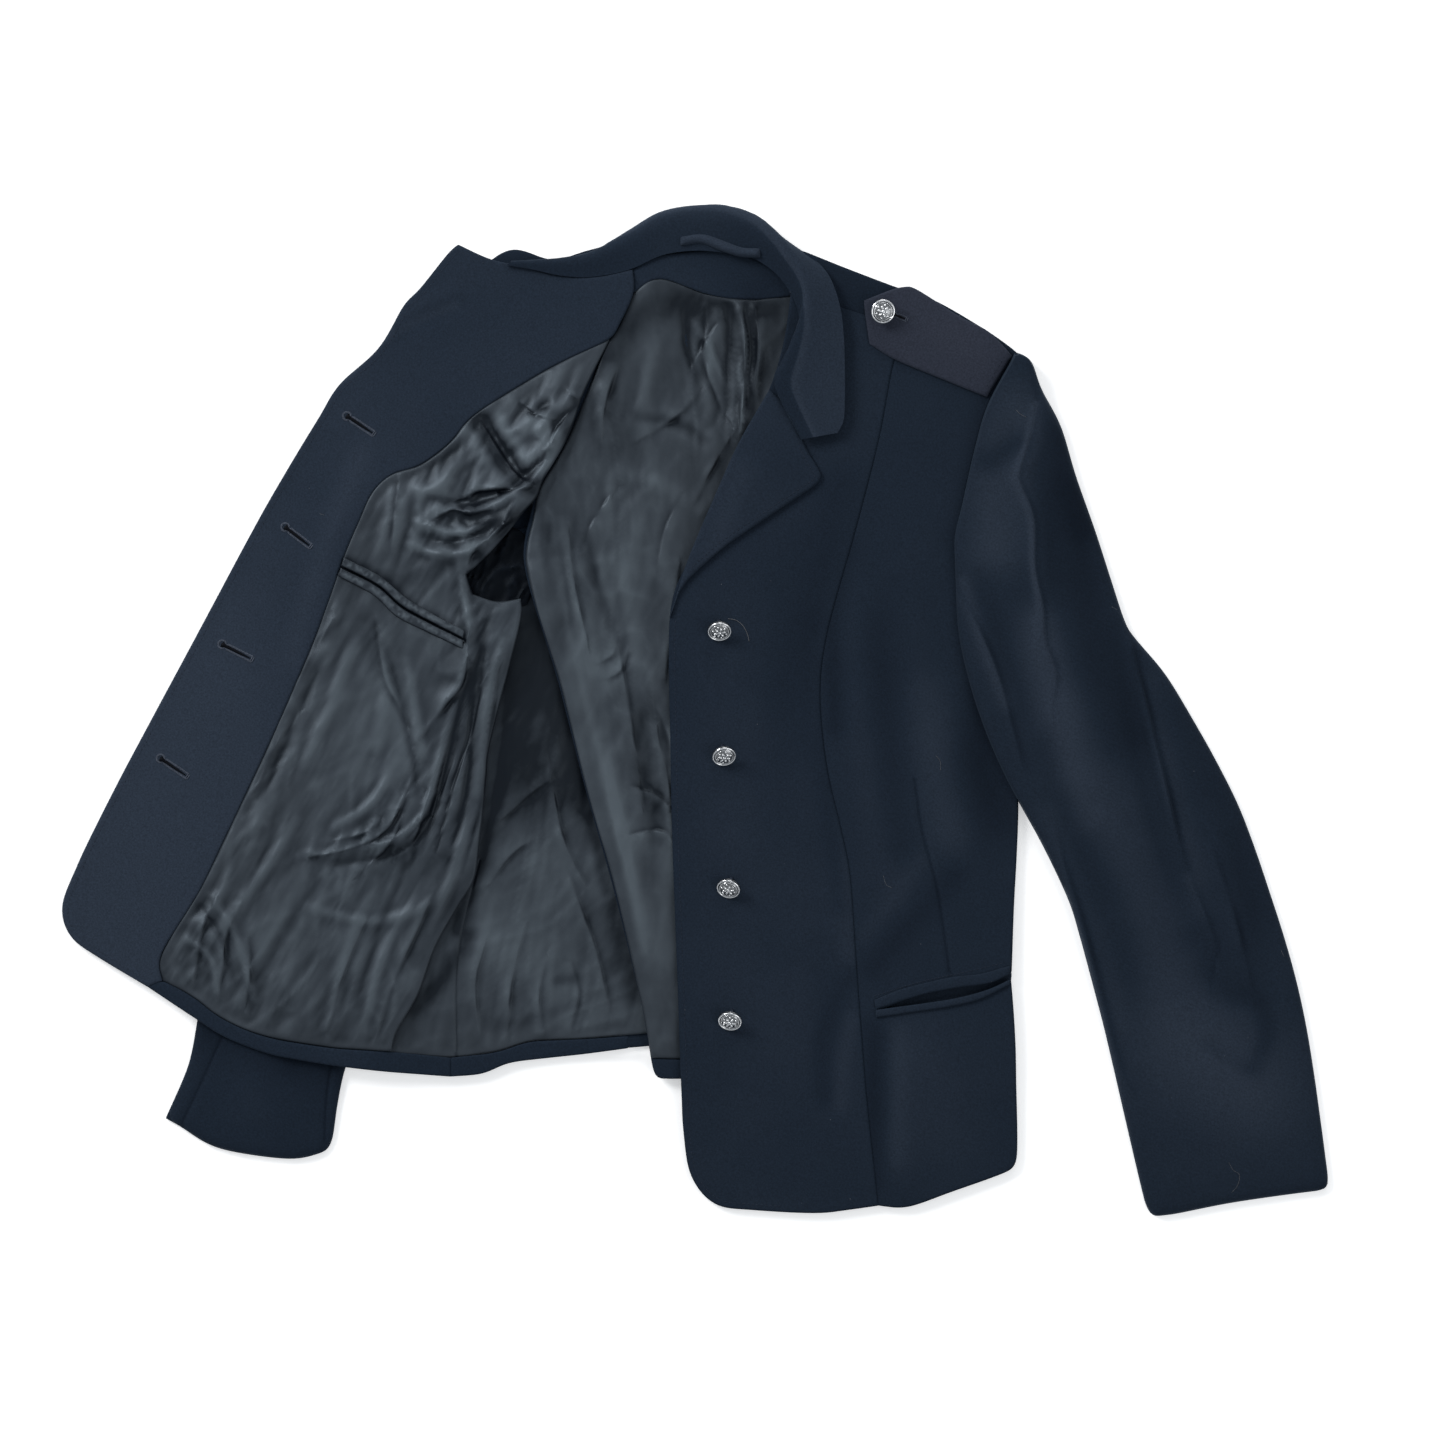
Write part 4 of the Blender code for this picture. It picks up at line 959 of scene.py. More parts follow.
# %% folds of the front lining
LINING_FRONT_CREASES = [
    ([(-146, 198), (-139, 187), (-129, 170), (-118, 157), (-106, 150)], 7.0, -3.2),
    ([(-116, 196), (-102, 184), (-96, 168)], 12.0, 3.0),
    ([(-80, 212), (-96, 196), (-104, 180)], 5.0, 1.6),
    ([(-160, 156), (-176, 146), (-190, 146)], 5.0, 1.4),
    ([(-86, 176), (-112, 150), (-140, 134), (-170, 131)], 3.2, 2.0),
    ([(-150, 184), (-162, 172), (-180, 160)], 6.0, -1.2),
    ([(-104, 150), (-134, 126), (-160, 118), (-190, 127)], 2.8, 1.7),
    ([(-120, 130), (-144, 108), (-170, 104), (-196, 112)], 3.0, 1.6),
    ([(-96, 206), (-110, 196)], 3.0, -1.4),
    ([(-98, 172), (-124, 148), (-156, 138), (-180, 142)], 2.8, -1.8),
    ([(-112, 146), (-140, 120), (-166, 112), (-186, 118)], 2.6, -1.7),
    ([(-140, 160), (-150, 140), (-146, 118)], 3.4, 1.4),
    ([(-200, 150), (-206, 120), (-216, 96)], 3.0, 1.0),
    ([(-186, 148), (-192, 118), (-200, 92)], 3.4, -1.0),
    ([(-153, 25), (-158, 13), (-177, -59), (-184, -73), (-200, -86), (-222, -91), (-240, -96), (-261, -95)],
     2.4, 1.7),
    ([(-149, 24), (-154, 8), (-172, -62), (-182, -82), (-200, -95), (-224, -100), (-246, -104)], 2.4, -1.5),
    ([(-155, 101), (-153, 76), (-150, 50), (-153, 25)], 3.0, 2.0),
    ([(-214, 60), (-200, 20), (-190, -20), (-184, -60)], 3.0, -1.3),
    ([(-210, 56), (-206, 10), (-214, -30)], 5.0, 1.2),
    ([(-192, 36), (-186, 0), (-180, -34)], 3.4, 1.3),
    ([(-222, 60), (-240, 10), (-262, -40)], 5.0, 1.1),
    ([(-196, -30), (-216, -62), (-244, -80)], 3.0, 1.1),
    ([(-262, -70), (-296, -120), (-330, -160)], 4.0, 1.0),
    ([(-244, 40), (-268, -10), (-290, -60)], 4.0, -1.0),
    ([(-250, -110), (-280, -160), (-300, -200)], 4.4, -1.1),
    ([(-210, -110), (-232, -160), (-246, -214)], 4.0, 1.2),
    ([(-190, -100), (-212, -150), (-226, -200)], 3.4, -1.1),
    ([(-180, -110), (-206, -160), (-222, -216)], 3.0, 1.1),
    ([(-128, 50), (-138, 0), (-143, -60)], 3.0, 1.8),
    ([(-138, 62), (-147, 10), (-152, -50), (-160, -96)], 3.0, -1.8),
    ([(-160, 8), (-168, -40), (-178, -80), (-196, -110)], 3.0, -1.2),
    ([(-150, -60), (-162, -110), (-178, -150)], 3.0, 1.4),
    ([(-150, -100), (-176, -128), (-214, -140), (-262, -130)], 4.0, 1.0),
    ([(-340, -150), (-322, -166), (-318, -190)], 2.6, 1.1),
    ([(-334, -126), (-316, -150), (-306, -184)], 2.6, -1.0),
    ([(-324, -120), (-306, -150), (-292, -196)], 2.8, 1.0),
]
LINING_FRONT_LIPS = [
    ([(-188, -24), (-183, -18), (-166, 3), (-154, 20), (-151, 44), (-150, 56)], 8.0, 3.0),
    ([(-213, 64), (-207, 23), (-198, 4), (-189, -12)], 7.0, 1.3),
    ([(-258, -98), (-230, -92), (-206, -80), (-191, -52), (-186, -31)], 4.0, 2.4),
    ([(-226, -112), (-212, -98), (-200, -84), (-196, -66)], 3.0, 1.2),
    ([(-240, -86), (-222, -82), (-208, -72)], 3.0, 1.2),
    ([(-204, -100), (-190, -92), (-182, -74), (-178, -52)], 4.0, 1.6),
    ([(-97, 156), (-104, 150), (-117, 156), (-128, 170), (-140, 189), (-146, 198)], 10.0, 3.0),
    ([(-118, 206), (-104, 196), (-92, 192)], 6.0, 1.4),
    ([(-86, 214), (-80, 208), (-70, 204)], 4.0, 1.6),
    ([(-158, 139), (-146, 145), (-130, 147), (-112, 147), (-102, 152)], 9.0, 3.0),
    ([(-151, 90), (-148, 104), (-139, 113), (-124, 124), (-111, 133), (-101, 150)], 9.0, 3.6),
    ([(-178, 124), (-162, 133), (-150, 130), (-136, 134)], 5.0, 2.0),
    ([(-78, 204), (-90, 190), (-98, 176), (-102, 160)], 10.0, 2.6),
    ([(-62, 212), (-72, 192), (-84, 180)], 6.0, 1.6),
    ([(-196, 158), (-200, 132), (-202, 108)], 6.0, 1.0),
    ([(-138, 34), (-146, -6), (-160, -50), (-172, -96)], 6.0, 2.2),
    ([(-128, 40), (-134, -10), (-141, -60), (-154, -108)], 5.0, 2.0),
    ([(-152, -10), (-164, -44), (-178, -70), (-190, -84)], 4.0, 1.6),
    ([(-334, -180), (-330, -158), (-326, -140), (-318, -122)], 4.0, 1.8),
    ([(-318, -194), (-314, -170), (-312, -150), (-302, -128)], 4.0, 1.6),
    ([(-300, -200), (-296, -172), (-298, -150)], 4.0, 1.2),
    ([(-246, -216), (-232, -170), (-214, -130)], 6.0, 1.1),
    ([(-214, -222), (-200, -180), (-182, -140), (-172, -116)], 6.0, 1.5),
    ([(-270, 10), (-258, 34), (-240, 62)], 6.0, 0.9),
    ([(-296, -60), (-280, -24), (-262, 0)], 6.0, 0.9),
]
# Light and shade painted on the front lining: painted shade in the valleys beside its folds and along the
# pocket, painted highlight on their crests
LINING_FRONT_PAINTED_SHADING = [
    ([(-146, 196), (-139, 186), (-129, 169), (-118, 155), (-106, 149)], 7.5, -1.1),
    ([(-150, 134), (-136, 125), (-126, 124)], 8.0, -0.9),
    ([(-131, 196), (-121, 181), (-111, 168)], 4.0, 0.8),
    ([(-154, 186), (-144, 172), (-134, 158)], 5.0, 0.6),
    ([(-112, 204), (-96, 198), (-86, 186)], 5.0, -0.5),
    ([(-104, 190), (-94, 178), (-96, 164)], 6.0, 0.7),
    ([(-290, -170), (-262, -150), (-236, -160)], 40.0, 0.35),
    ([(-232, 10), (-216, -30)], 26.0, 0.25),
    ([(-222, 36), (-206, 6), (-192, -22)], 9.0, 0.35),
    ([(-156, 131), (-140, 126), (-122, 129)], 6.5, -1.1),
    ([(-151, 115), (-143, 108), (-134, 106)], 5.0, 0.7),
    ([(-134, 186), (-126, 168), (-118, 156)], 4.0, 0.5),
    ([(-96, 186), (-92, 172), (-98, 160)], 6.0, 0.35),
    ([(-170, 150), (-186, 128), (-196, 100)], 14.0, 0.2),
    ([(-156, 120), (-150, 106), (-146, 92)], 4.0, 0.8),
    ([(-176, 160), (-160, 172)], 10.0, -0.45),
    ([(-80, 206), (-92, 190)], 5.0, -0.5),
    ([(-178, 96), (-160, 100)], 8.0, -0.3),
    ([(-150, 112), (-142, 98), (-150, 84)], 8.0, -0.7),
    ([(-136, 64), (-148, 8), (-154, -52), (-164, -98)], 5.0, -0.6),
    ([(-149, 22), (-156, 0), (-172, -62), (-184, -84)], 3.5, -0.8),
    ([(-330, -160), (-300, -200)], 30.0, -0.15),
    ([(-180, 60), (-200, 0), (-220, -50)], 24.0, 0.2),
    ([(-232, 100), (-208, 88), (-192, 73), (-172, 61), (-152, 51)], 3.5, -0.9),
    ([(-235, 96), (-211, 83), (-196, 69), (-176, 58), (-153, 46)], 2.0, -1.2),
]
LINING_FRONT_SLACK = [
    ([(-100, 190), (-160, 130)], 45.0, 0.9),
    ([(-150, 110), (-150, 40)], 24.0, 0.7),
    ([(-180, -60), (-240, -100)], 36.0, 0.7),
    ([(-250, 60), (-300, -60), (-345, -170)], 22.0, 0.8),
    ([(-200, -200), (-300, -190)], 30.0, 0.5),
]
POCKET_SLIT = [(-236, 95), (-211, 83), (-196, 69), (-176, 58), (-153, 46)]
# The front lining also gets painted shade at its rim and in the hollows of its relief, and painted highlight
# on the crests
cloth("lining_front", SATIN, "satin_lining", "right_front_cloth", wall=0.6,
      edge=(1.8, 1.2), rounds=24, creases=LINING_FRONT_CREASES, tones=LINING_FRONT_PAINTED_SHADING, spacing=2.1,
      crumples=[(26.0, 1.3, 62.0, 2.2, 5.5)], cut=(0.020, 0.045, 60.0, 10.0, 1.1, 1.0, LINING_FRONT_SLACK),
      lines=[(POCKET_SLIT, 1.3, 1.8)], lips=LINING_FRONT_LIPS, grain=-28.0, rim_painted_shade=0.5, relief_painted_light=0.8,
      crinkles=[(9.0, 0.55, 66.0, 7.0, 3.3), (16.0, 0.9, 58.0, 3.0, 8.1)], more=[((-108, 143), 9.0, 2.5)])

# %% the other linings
SIDE_LIPS = [
    ([(-72, -118), (-88, -84), (-98, -30)], 6.0, 1.3),
    ([(-56, -206), (-66, -160), (-84, -110)], 6.0, 1.3),
    ([(-130, -74), (-112, -58), (-88, -40)], 5.0, 1.2),
    ([(-140, -120), (-122, -96), (-104, -84)], 5.0, 1.0),
    ([(-126, -224), (-122, -180), (-112, -140)], 6.0, 1.3),
    ([(-100, -224), (-104, -190), (-98, -160)], 4.0, 1.0),
    ([(-144, -214), (-146, -180), (-138, -150)], 5.0, 1.0),
    ([(-84, -214), (-78, -188), (-84, -166)], 4.0, 1.0),
]
# Light and shade painted on the side lining: deep painted shade in the gap beside the back's fold and along
# the front lining's edge, paler patches lower down
LINING_SIDE_PAINTED_SHADING = [
    ([(-112, 96), (-113, 62), (-112, 30)], 17.0, -1.5),
    ([(-112, 20), (-112, -20), (-110, -50)], 19.0, -0.95),
    ([(-100, -96), (-112, -150)], 26.0, 0.4),
    ([(-64, -100), (-60, -120)], 10.0, 0.4),
    ([(-118, 20), (-126, -30), (-140, -90), (-158, -146)], 5.0, -1.2),
    ([(-97, 40), (-84, -20), (-73, -62)], 9.0, -0.9),
    ([(-73, -62), (-60, -120)], 3.5, -0.8),
    ([(-140, -116), (-138, -150)], 8.0, 0.55),
    ([(-56, -130), (-44, -190)], 6.0, -0.6),
    ([(-150, -150), (-170, -180), (-190, -200)], 6.0, -0.9),
    ([(-132, -160), (-100, -184), (-70, -200)], 22.0, 0.55),
    ([(-94, 36), (-92, -10), (-84, -60)], 10.0, -0.5),
    ([(-136, -210), (-110, -206), (-80, -196)], 5.0, -0.4),
    ([(-124, -60), (-108, -48), (-90, -28)], 5.0, 0.35),
    ([(-92, -180), (-80, -178)], 4.0, -0.7),
]
# The side lining also gets painted shade at its rim and painted light and shade on its relief
cloth("lining_side", SATIN, "satin_lining", "right_side_cloth", wall=0.6, edge=(1.4, 0.6),
      rounds=24, tones=LINING_SIDE_PAINTED_SHADING, spacing=2.2, crumples=[(24.0, 1.2, 82.0, 3.0, 1.7)],
      cut=(0.010, 0.045, 82.0, 10.0, 1.2, 3.0, [([(-110, -40), (-100, -200)], 70.0, 0.3)]), rim_painted_shade=0.4,
      relief_painted_light=0.6, crinkles=[(11.0, 0.8, 80.0, 6.0, 5.1), (20.0, 0.8, 40.0, 3.0, 1.1)],
      lips=SIDE_LIPS,
      lines=[([(-159, -230), (-158, -165), (-144, -100)], 1.0, 0.6)])
# The lining inside the armhole takes the darker satin, which is painted shade
cloth("sleeve_lining", SATIN_PAINTED_SHADE, "satin_lining", "lining_side_cloth", wall=0.6,
      edge=(2.5, 1.0), rounds=10, spacing=1.8, rings=(0.6,),
      crinkles=[(9.0, 3.0, 70.0, 2.2, 9.1)], relief_painted_light=0.4)
BACK_CREASES = [
    ([(27, 276), (32, 250), (30, 228), (31, 205), (30, 182)], 2.4, 2.4),
    ([(34, 274), (37, 240), (35, 200)], 2.6, -2.4),
    ([(22, 274), (22, 244), (20, 214), (22, 190)], 2.8, -1.8),
    ([(16, 270), (10, 230), (8, 190)], 4.0, 1.5),
    ([(-6, 272), (-6, 244), (2, 216)], 3.0, -1.6),
    ([(-2, 262), (12, 236), (20, 212)], 3.0, 1.4),
    ([(44, 262), (42, 236), (38, 210)], 3.0, 1.4),
    ([(-20, 262), (-34, 210), (-30, 150)], 7.0, 1.3),
    ([(-56, 232), (-62, 206), (-58, 176)], 5.0, 1.4),
    ([(-44, 196), (-10, 190), (10, 176)], 4.0, -1.2),
    ([(-56, 160), (-24, 150), (8, 130)], 7.0, 1.0),
    ([(-90, 130), (-78, 80), (-66, 20)], 6.0, 1.8),
    ([(-74, 120), (-64, 80), (-52, 44)], 4.0, -1.4),
    ([(-30, 110), (-12, 70), (-16, 20)], 9.0, 1.5),
    ([(-60, 100), (-48, 50), (-50, 0)], 7.0, -1.4),
    ([(-40, 30), (-34, -40), (-26, -120)], 8.0, -1.5),
    ([(-60, -20), (-46, -90), (-30, -160)], 5.0, 1.5),
    ([(-8, 20), (-14, -30), (-12, -90)], 6.0, 1.0),
]
BACK_LIPS = [
    ([(31, 275), (32, 246), (32, 218), (29, 184)], 5.0, 2.4),
    ([(40, 268), (42, 240), (40, 216)], 4.0, 1.4),
    ([(18, 262), (5, 238), (16, 204), (26, 188)], 5.0, 1.5),
    ([(8, 268), (6, 246), (-4, 226)], 5.0, 1.2),
    ([(-2, 136), (14, 166), (30, 192)], 6.0, 1.3),
    ([(-40, 178), (-12, 196), (4, 214)], 8.0, 1.2),
    ([(-62, 180), (-60, 204), (-50, 232)], 7.0, 1.2),
    ([(-70, 40), (-80, 84), (-84, 120)], 7.0, 1.3),
    ([(-34, -70), (-42, -10), (-52, 50)], 9.0, 1.2),
    ([(-12, -120), (-16, -60), (-26, -10)], 7.0, 1.1),
    ([(-20, 20), (-14, 60), (-10, 100)], 8.0, 1.1),
    ([(-60, 20), (-50, 26), (-44, 40)], 4.0, 1.2),
    ([(-66, 30), (-54, 38), (-52, 54)], 4.0, 1.1),
    ([(-16, -66), (-26, -56), (-44, -50)], 5.0, 1.5),
    ([(-10, -90), (-24, -80), (-48, -84)], 5.0, 1.2),
    ([(-30, 8), (-20, -12), (-14, -40)], 5.0, 1.2),
    ([(-8, 146), (-20, 120), (-26, 90)], 6.0, 1.1),
    ([(-50, 150), (-66, 130), (-76, 104)], 6.0, 1.3),
]
# Light and shade painted on the back lining: painted shade beside the pleat and under the collar, painted
# highlight along fold edges
BACK_PAINTED_SHADING = [
    ([(-52, 90), (-48, 30)], 15.0, 0.75),
    ([(-70, 232), (-52, 254), (-20, 270), (10, 268), (48, 268)], 14.0, -0.8),
    ([(-70, 30), (-50, -60), (-30, -160)], 14.0, 0.3),
    ([(14, 196), (0, 160), (-6, 120)], 12.0, -0.2),
    ([(-38, -40), (-26, -62)], 7.0, -0.45),
    ([(-66, -20), (-50, -80)], 16.0, 0.3),
    ([(-40, -86), (-18, -98)], 9.0, 0.45),
    ([(-74, 44), (-60, 14)], 9.0, 0.35),
    ([(-60, 160), (-50, 120)], 14.0, 0.25),
    ([(-92, 96), (-76, 34)], 9.0, 0.3),
    ([(38, 274), (41, 240), (38, 200)], 4.0, -0.8),
    ([(-4, 268), (-10, 232)], 6.0, -0.5),
    ([(-100, 120), (-88, 60)], 6.0, -0.3),
    ([(-16, 110), (-30, 160)], 20.0, 0.25),
    ([(-94, 100), (-76, 20), (-56, -60), (-34, -160)], 3.0, 0.5),
    ([(-20, -20), (-14, -160)], 14.0, 0.2),
    ([(-66, 240), (-80, 200)], 16.0, -0.3),
]
BACK_SLACK = [
    ([(30, 270), (30, 190)], 28.0, 1.0),
    ([(-60, 200), (-70, 80)], 40.0, 0.6),
    ([(-40, 20), (-30, -60)], 30.0, 0.6),
]
# The back lining also gets painted shade at its rim and painted light and shade on its relief
cloth("lining_back", SATIN, "satin_lining", "back_left_cloth", wall=0.6, edge=(2.4, 1.6),
      rounds=24, creases=BACK_CREASES, tones=BACK_PAINTED_SHADING, spacing=2.1, crumples=[(30.0, 1.5, 80.0, 2.4, 2.4)],
      cut=(0.012, 0.045, 97.0, 11.0, 1.2, 2.0, BACK_SLACK), rim_painted_shade=0.2, lips=BACK_LIPS, relief_painted_light=0.6,
      crinkles=[(20.0, 1.0, 78.0, 2.6, 4.4), (9.0, 0.4, 96.0, 6.0, 6.1)],
      more=[((-108, 143), 14.0, 2.0), ((-60, 243), 16.0, 1.0), ((-100, 60), 60.0, 0.9),
            ((-70, -60), 60.0, 0.9), ((-40, -180), 60.0, 0.9)])
# The inside welts have a paler tone, painted shade at their rims for the dark lines between them, and painted
# light and shade on their crinkles
for welt in ("inside_welt_upper", "inside_welt_lower"):
    cloth(welt, SATIN, "satin_lining", "lining_front_cloth", wall=0.9, edge=(1.2, 0.9),
          spacing=1.8, rings=(0.4, 0.9), rounds=12, crinkles=[(4.5, 3.0, 60.0, 1.0, 4.4)], tone_and_painted_light=0.45,
          rim_painted_shade=1.2, relief_painted_light=2.6, outward=-0.1)

# %% [markdown]
# ## Collar
# The collar is one strip that runs round the neck and turns over at its roll. At the back the roll is the
# upper outline and the fall goes underneath; at the left front the fall lies on top. A table of stations
# gives the neck seam, the roll and the outer edge, and a smooth surface is drawn through them.

# %% the collar
# Columns: seam x, y, z; roll x, y; height just before, at and just after the roll; outer edge x, y, z
COLLAR = [
    (-126, 296.5, 8.6, -122, 298.5, 8.8, 7.4, 5.0, -122, 292, 3.2),
    (-108, 293.5, 8.8, -104, 299.5, 9.5, 7.0, 4.0, -106, 280, 3.0),
    (-90, 289.5, 9.0, -87, 301.0, 10.0, 6.5, 3.6, -92, 262, 3.0),
    (-70, 288.5, 9.0, -68, 305.5, 10.5, 6.5, 3.2, -70, 262, 2.6),
    (-45, 293, 9.5, -46, 318.0, 11.0, 6.5, 3.0, -45, 272, 2.4),
    (-22, 303, 9.5, -24, 331.0, 11.5, 7.0, 3.0, -14, 283, 2.4),
    (0, 306, 9.5, -1, 335.6, 12.0, 7.5, 3.0, 4, 285, 2.4),
    (20, 304.5, 9.5, 20, 335.5, 13.0, 8.0, 3.0, 28, 288, 2.4),
    (38, 301, 10.0, 39, 329.5, 14.5, 9.0, 4.2, 54, 296, 2.6),
    (50, 294, 11.0, 52, 319.0, 16.5, 13.0, 9.0, 72, 302, 5.0),
    (58, 286, 12.0, 61, 308.0, 17.4, 17.2, 16.0, 80, 298.5, 9.6),
    (64, 277, 12.6, 69, 294.0, 17.6, 18.6, 18.6, 89.5, 287, 12.8),
    (69, 264, 12.8, 72.5, 277, 17.0, 18.6, 19.2, 96, 268, 13.8),
    (69, 250, 12.8, 69, 258, 16.5, 18.0, 18.8, 98.5, 248, 13.8),
    (64, 232, 13.0, 61, 238, 15.8, 17.0, 18.0, 99.2, 226, 13.6),
    (56, 216, 13.4, 53, 221, 15.2, 16.2, 17.0, 99.2, 206, 13.4),
    (60, 203, 14.0, 58, 204.6, 14.8, 15.4, 15.6, 98.4, 193, 13.2),
    (71, 180, 13.4, 71.5, 180.4, 13.8, 14.0, 14.2, 94.5, 184.6, 13.0),
]


UP_THE_STAND = 0.75
PAST_THE_ROLL = 0.12
FALL_ARCH = 0.4
SECTION_STEP = 1.2
SECTION_POINTS = 34
STATIONS_BETWEEN = 6
# Where the roll lies across the strip, and the strength of the painted highlight along it
ROLL_AT = 0.36
ROLL_PAINTED_HIGHLIGHT = 0.35


def even_steps(path, count):
    """The path with its points spread evenly along it."""
    walked = walked_along(path)
    return place_at(path, walked, np.linspace(0, walked[-1], count))


def spread_rails(stations, steps):
    """More stations between the given ones, on smooth curves."""
    table = np.array(stations, float)
    padded = np.vstack([2 * table[0] - table[1], table, 2 * table[-1] - table[-2]])
    out = [blend(*four, t) for four in zip(padded, padded[1:], padded[2:], padded[3:])
           for t in np.arange(steps) / steps]
    return np.array([*out, table[-1]])


def collar_section(station):
    """The section of the collar at a station: up the stand, over the roll and down the fall."""
    seam, roll, edge = station[:3], station[3:5], station[8:]
    before, at, after = station[5:8]
    up = seam[:2] + UP_THE_STAND * (roll - seam[:2])
    turn = roll + PAST_THE_ROLL * (edge[:2] - roll)
    middle = roll + 0.5 * (edge[:2] - roll)
    arch = 0.5 * (after + edge[2]) + FALL_ARCH
    section = [seam, (*up, before), (*roll, at), (*turn, after), (*middle, arch), edge]
    return even_steps(through(np.array(section), SECTION_STEP), SECTION_POINTS)


def make_collar():
    grid = np.array([collar_section(station) for station in spread_rails(COLLAR, STATIONS_BETWEEN)])
    rows, columns = grid.shape[:2]
    points = grid.reshape(-1, 3)
    faces = [[i * columns + j, (i + 1) * columns + j, (i + 1) * columns + j + 1, i * columns + j + 1]
             for i in range(rows - 1) for j in range(columns - 1)]
    obj = new_mesh_object("collar_cloth", points, faces, 0.0)
    thicken(obj, 1.8, 0.0, WOOL)
    across = np.tile(np.linspace(0, 1, columns), rows)
    along = np.repeat(np.linspace(0, 1, rows), columns)
    # Painted light and shade: the stand darker in the shade of the roll, with a paler patch part way round,
    # and the fall paler
    stand_painted_shading = -0.2 + 0.35 * np.exp(-(((along - 0.35) / 0.12) ** 2))
    fall_painted_light = 0.6
    tones = np.where(across < 0.33, stand_painted_shading, fall_painted_light)
    set_tone_and_painted_light(obj, tones + ROLL_PAINTED_HIGHLIGHT * np.exp(-(((across - ROLL_AT) / 0.07) ** 2)), len(points))
    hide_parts("collar_stand", "collar_fall_left")
    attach(obj, "root")
    triangles = [[f[0], f[1], f[2]] for f in faces] + [[f[0], f[2], f[3]] for f in faces]
    SKIN["collar_cloth"] = BVHTree.FromPolygons(points.tolist(), triangles)


cloth("collar_fall_right", WOOL, "wool_twill", "right_front_cloth",
      soft=[(-120, 308)])
make_collar()
# The hanger loop is painted paler, with a painted highlight along its upper edge
cloth("hanger_loop", WOOL, "wool_twill", "collar_cloth", wall=1.2, edge=(1.6, 1.2),
      spacing=1.6, rings=(0.5, 1.2), rounds=14, puff=(2.8, 2.6), tone_and_painted_light=0.95,
      tones=[([(-8, 309), (12, 303), (30, 297)], 1.4, 0.9)])

# %% [markdown]
# ## Needlework
# Each stitch is a short tube of thread that sinks into the cloth at both ends. The rows follow the cut edges
# a few millimetres in. A buttonhole is a keyhole slit, worked over with close stitches that stand across it.
# The height of each stitch is looked up on the sheet that it is sewn to.

# %% tubes of thread


STITCH_SHAPE = ((0.0, -0.6, 0.5), (0.2, 0.3, 0.9), (0.5, 0.75, 1.0), (0.8, 0.3, 0.9), (1.0, -0.6, 0.5))
STEEPEST = 1.0
ABOVE_ALL = 60.0


class Thread:
    """Tubes of thread, gathered into one mesh."""

    def __init__(self, name, material):
        self.name, self.material = name, material
        self.points, self.faces = [], []

    def tube(self, route, radii, sides=5):
        """A closed tube along a route, with a radius at every point of it."""
        route = np.asarray(route, float)
        ahead = np.gradient(route, axis=0)
        ahead /= np.maximum(np.linalg.norm(ahead, axis=1), TINY)[:, None]
        side = np.cross(ahead, (0.0, 0.0, 1.0))
        side /= np.maximum(np.linalg.norm(side, axis=1), TINY)[:, None]
        up = np.cross(side, ahead)
        first = len(self.points)
        for centre, a, b, radius in zip(route, side, up, radii):
            for k in range(sides):
                angle = 2 * math.pi * k / sides
                self.points.append(centre + radius * (a * math.cos(angle) + b * math.sin(angle)))
        for ring_no in range(len(route) - 1):
            low = first + ring_no * sides
            for k in range(sides):
                following = (k + 1) % sides
                self.faces.append([low + k, low + following, low + sides + following, low + sides + k])
        last = first + (len(route) - 1) * sides
        self.faces.append([first + k for k in reversed(range(sides))])
        self.faces.append([last + k for k in range(sides)])

    def stitch(self, start, end, thick):
        """One stitch: it rises from the cloth and sinks into it again."""
        route = [start + (end - start) * t + np.array([0, 0, lift * thick]) for t, lift, _ in STITCH_SHAPE]
        self.tube(route, [thick * swell for _, _, swell in STITCH_SHAPE])

    def finish(self):
        mesh = bpy.data.meshes.new(self.name)
        mesh.from_pydata((np.array(self.points) * MM).tolist(), [], self.faces)
        mesh.shade_smooth()
        mesh.materials.append(self.material)
        obj = bpy.data.objects.new(self.name, mesh)
        bpy.context.scene.collection.objects.link(obj)
        bm = bmesh.new()
        bm.from_mesh(mesh)
        bmesh.ops.recalc_face_normals(bm, faces=bm.faces[:])
        bm.to_mesh(mesh)
        bm.free()
        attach(obj, "root")
        print(f"{self.name}: {len(self.faces)} faces")


def lie_on(route, names):
    """The route laid on the highest of the named sheets."""
    out = []
    for x, y in route:
        heights = []
        for name in names:
            hit = SKIN[name].ray_cast(Vector((x, y, ABOVE_ALL)), Vector((0, 0, -1)))
            if hit[0] is not None:
                heights.append(hit[0].z)
        if heights:
            out.append((x, y, max(heights)))
    return np.array(out)


def sew(thread, route, names, step=3.0, length=2.1, thick=0.17):
    """A row of stitches along a route."""
    run = through(np.array(route, float), 0.5)
    walked = walked_along(run)
    for start in np.arange(0, walked[-1] - length, step):
        laid = lie_on([place_at(run, walked, at) for at in (start, start + length)], names)
        if len(laid) == 2 and abs(laid[0][2] - laid[1][2]) < STEEPEST:
            thread.stitch(laid[0], laid[1], thick)


def beside(node, start, end, inset):
    """A route beside a cut edge, counter-clockwise from one place to another."""
    loop = cut_line(node, 3.0)
    first = int(np.argmin(np.linalg.norm(loop - np.array(start), axis=1)))
    last = int(np.argmin(np.linalg.norm(loop - np.array(end), axis=1)))
    count = (last - first) % len(loop)
    moved = loop - outward_normals(loop) * inset
    clear, _ = distance_to(loop, moved)
    order = [(first + k) % len(loop) for k in range(count + 1)]
    return np.array([moved[k] for k in order if clear[k] > inset * 0.9])


# %% thread materials


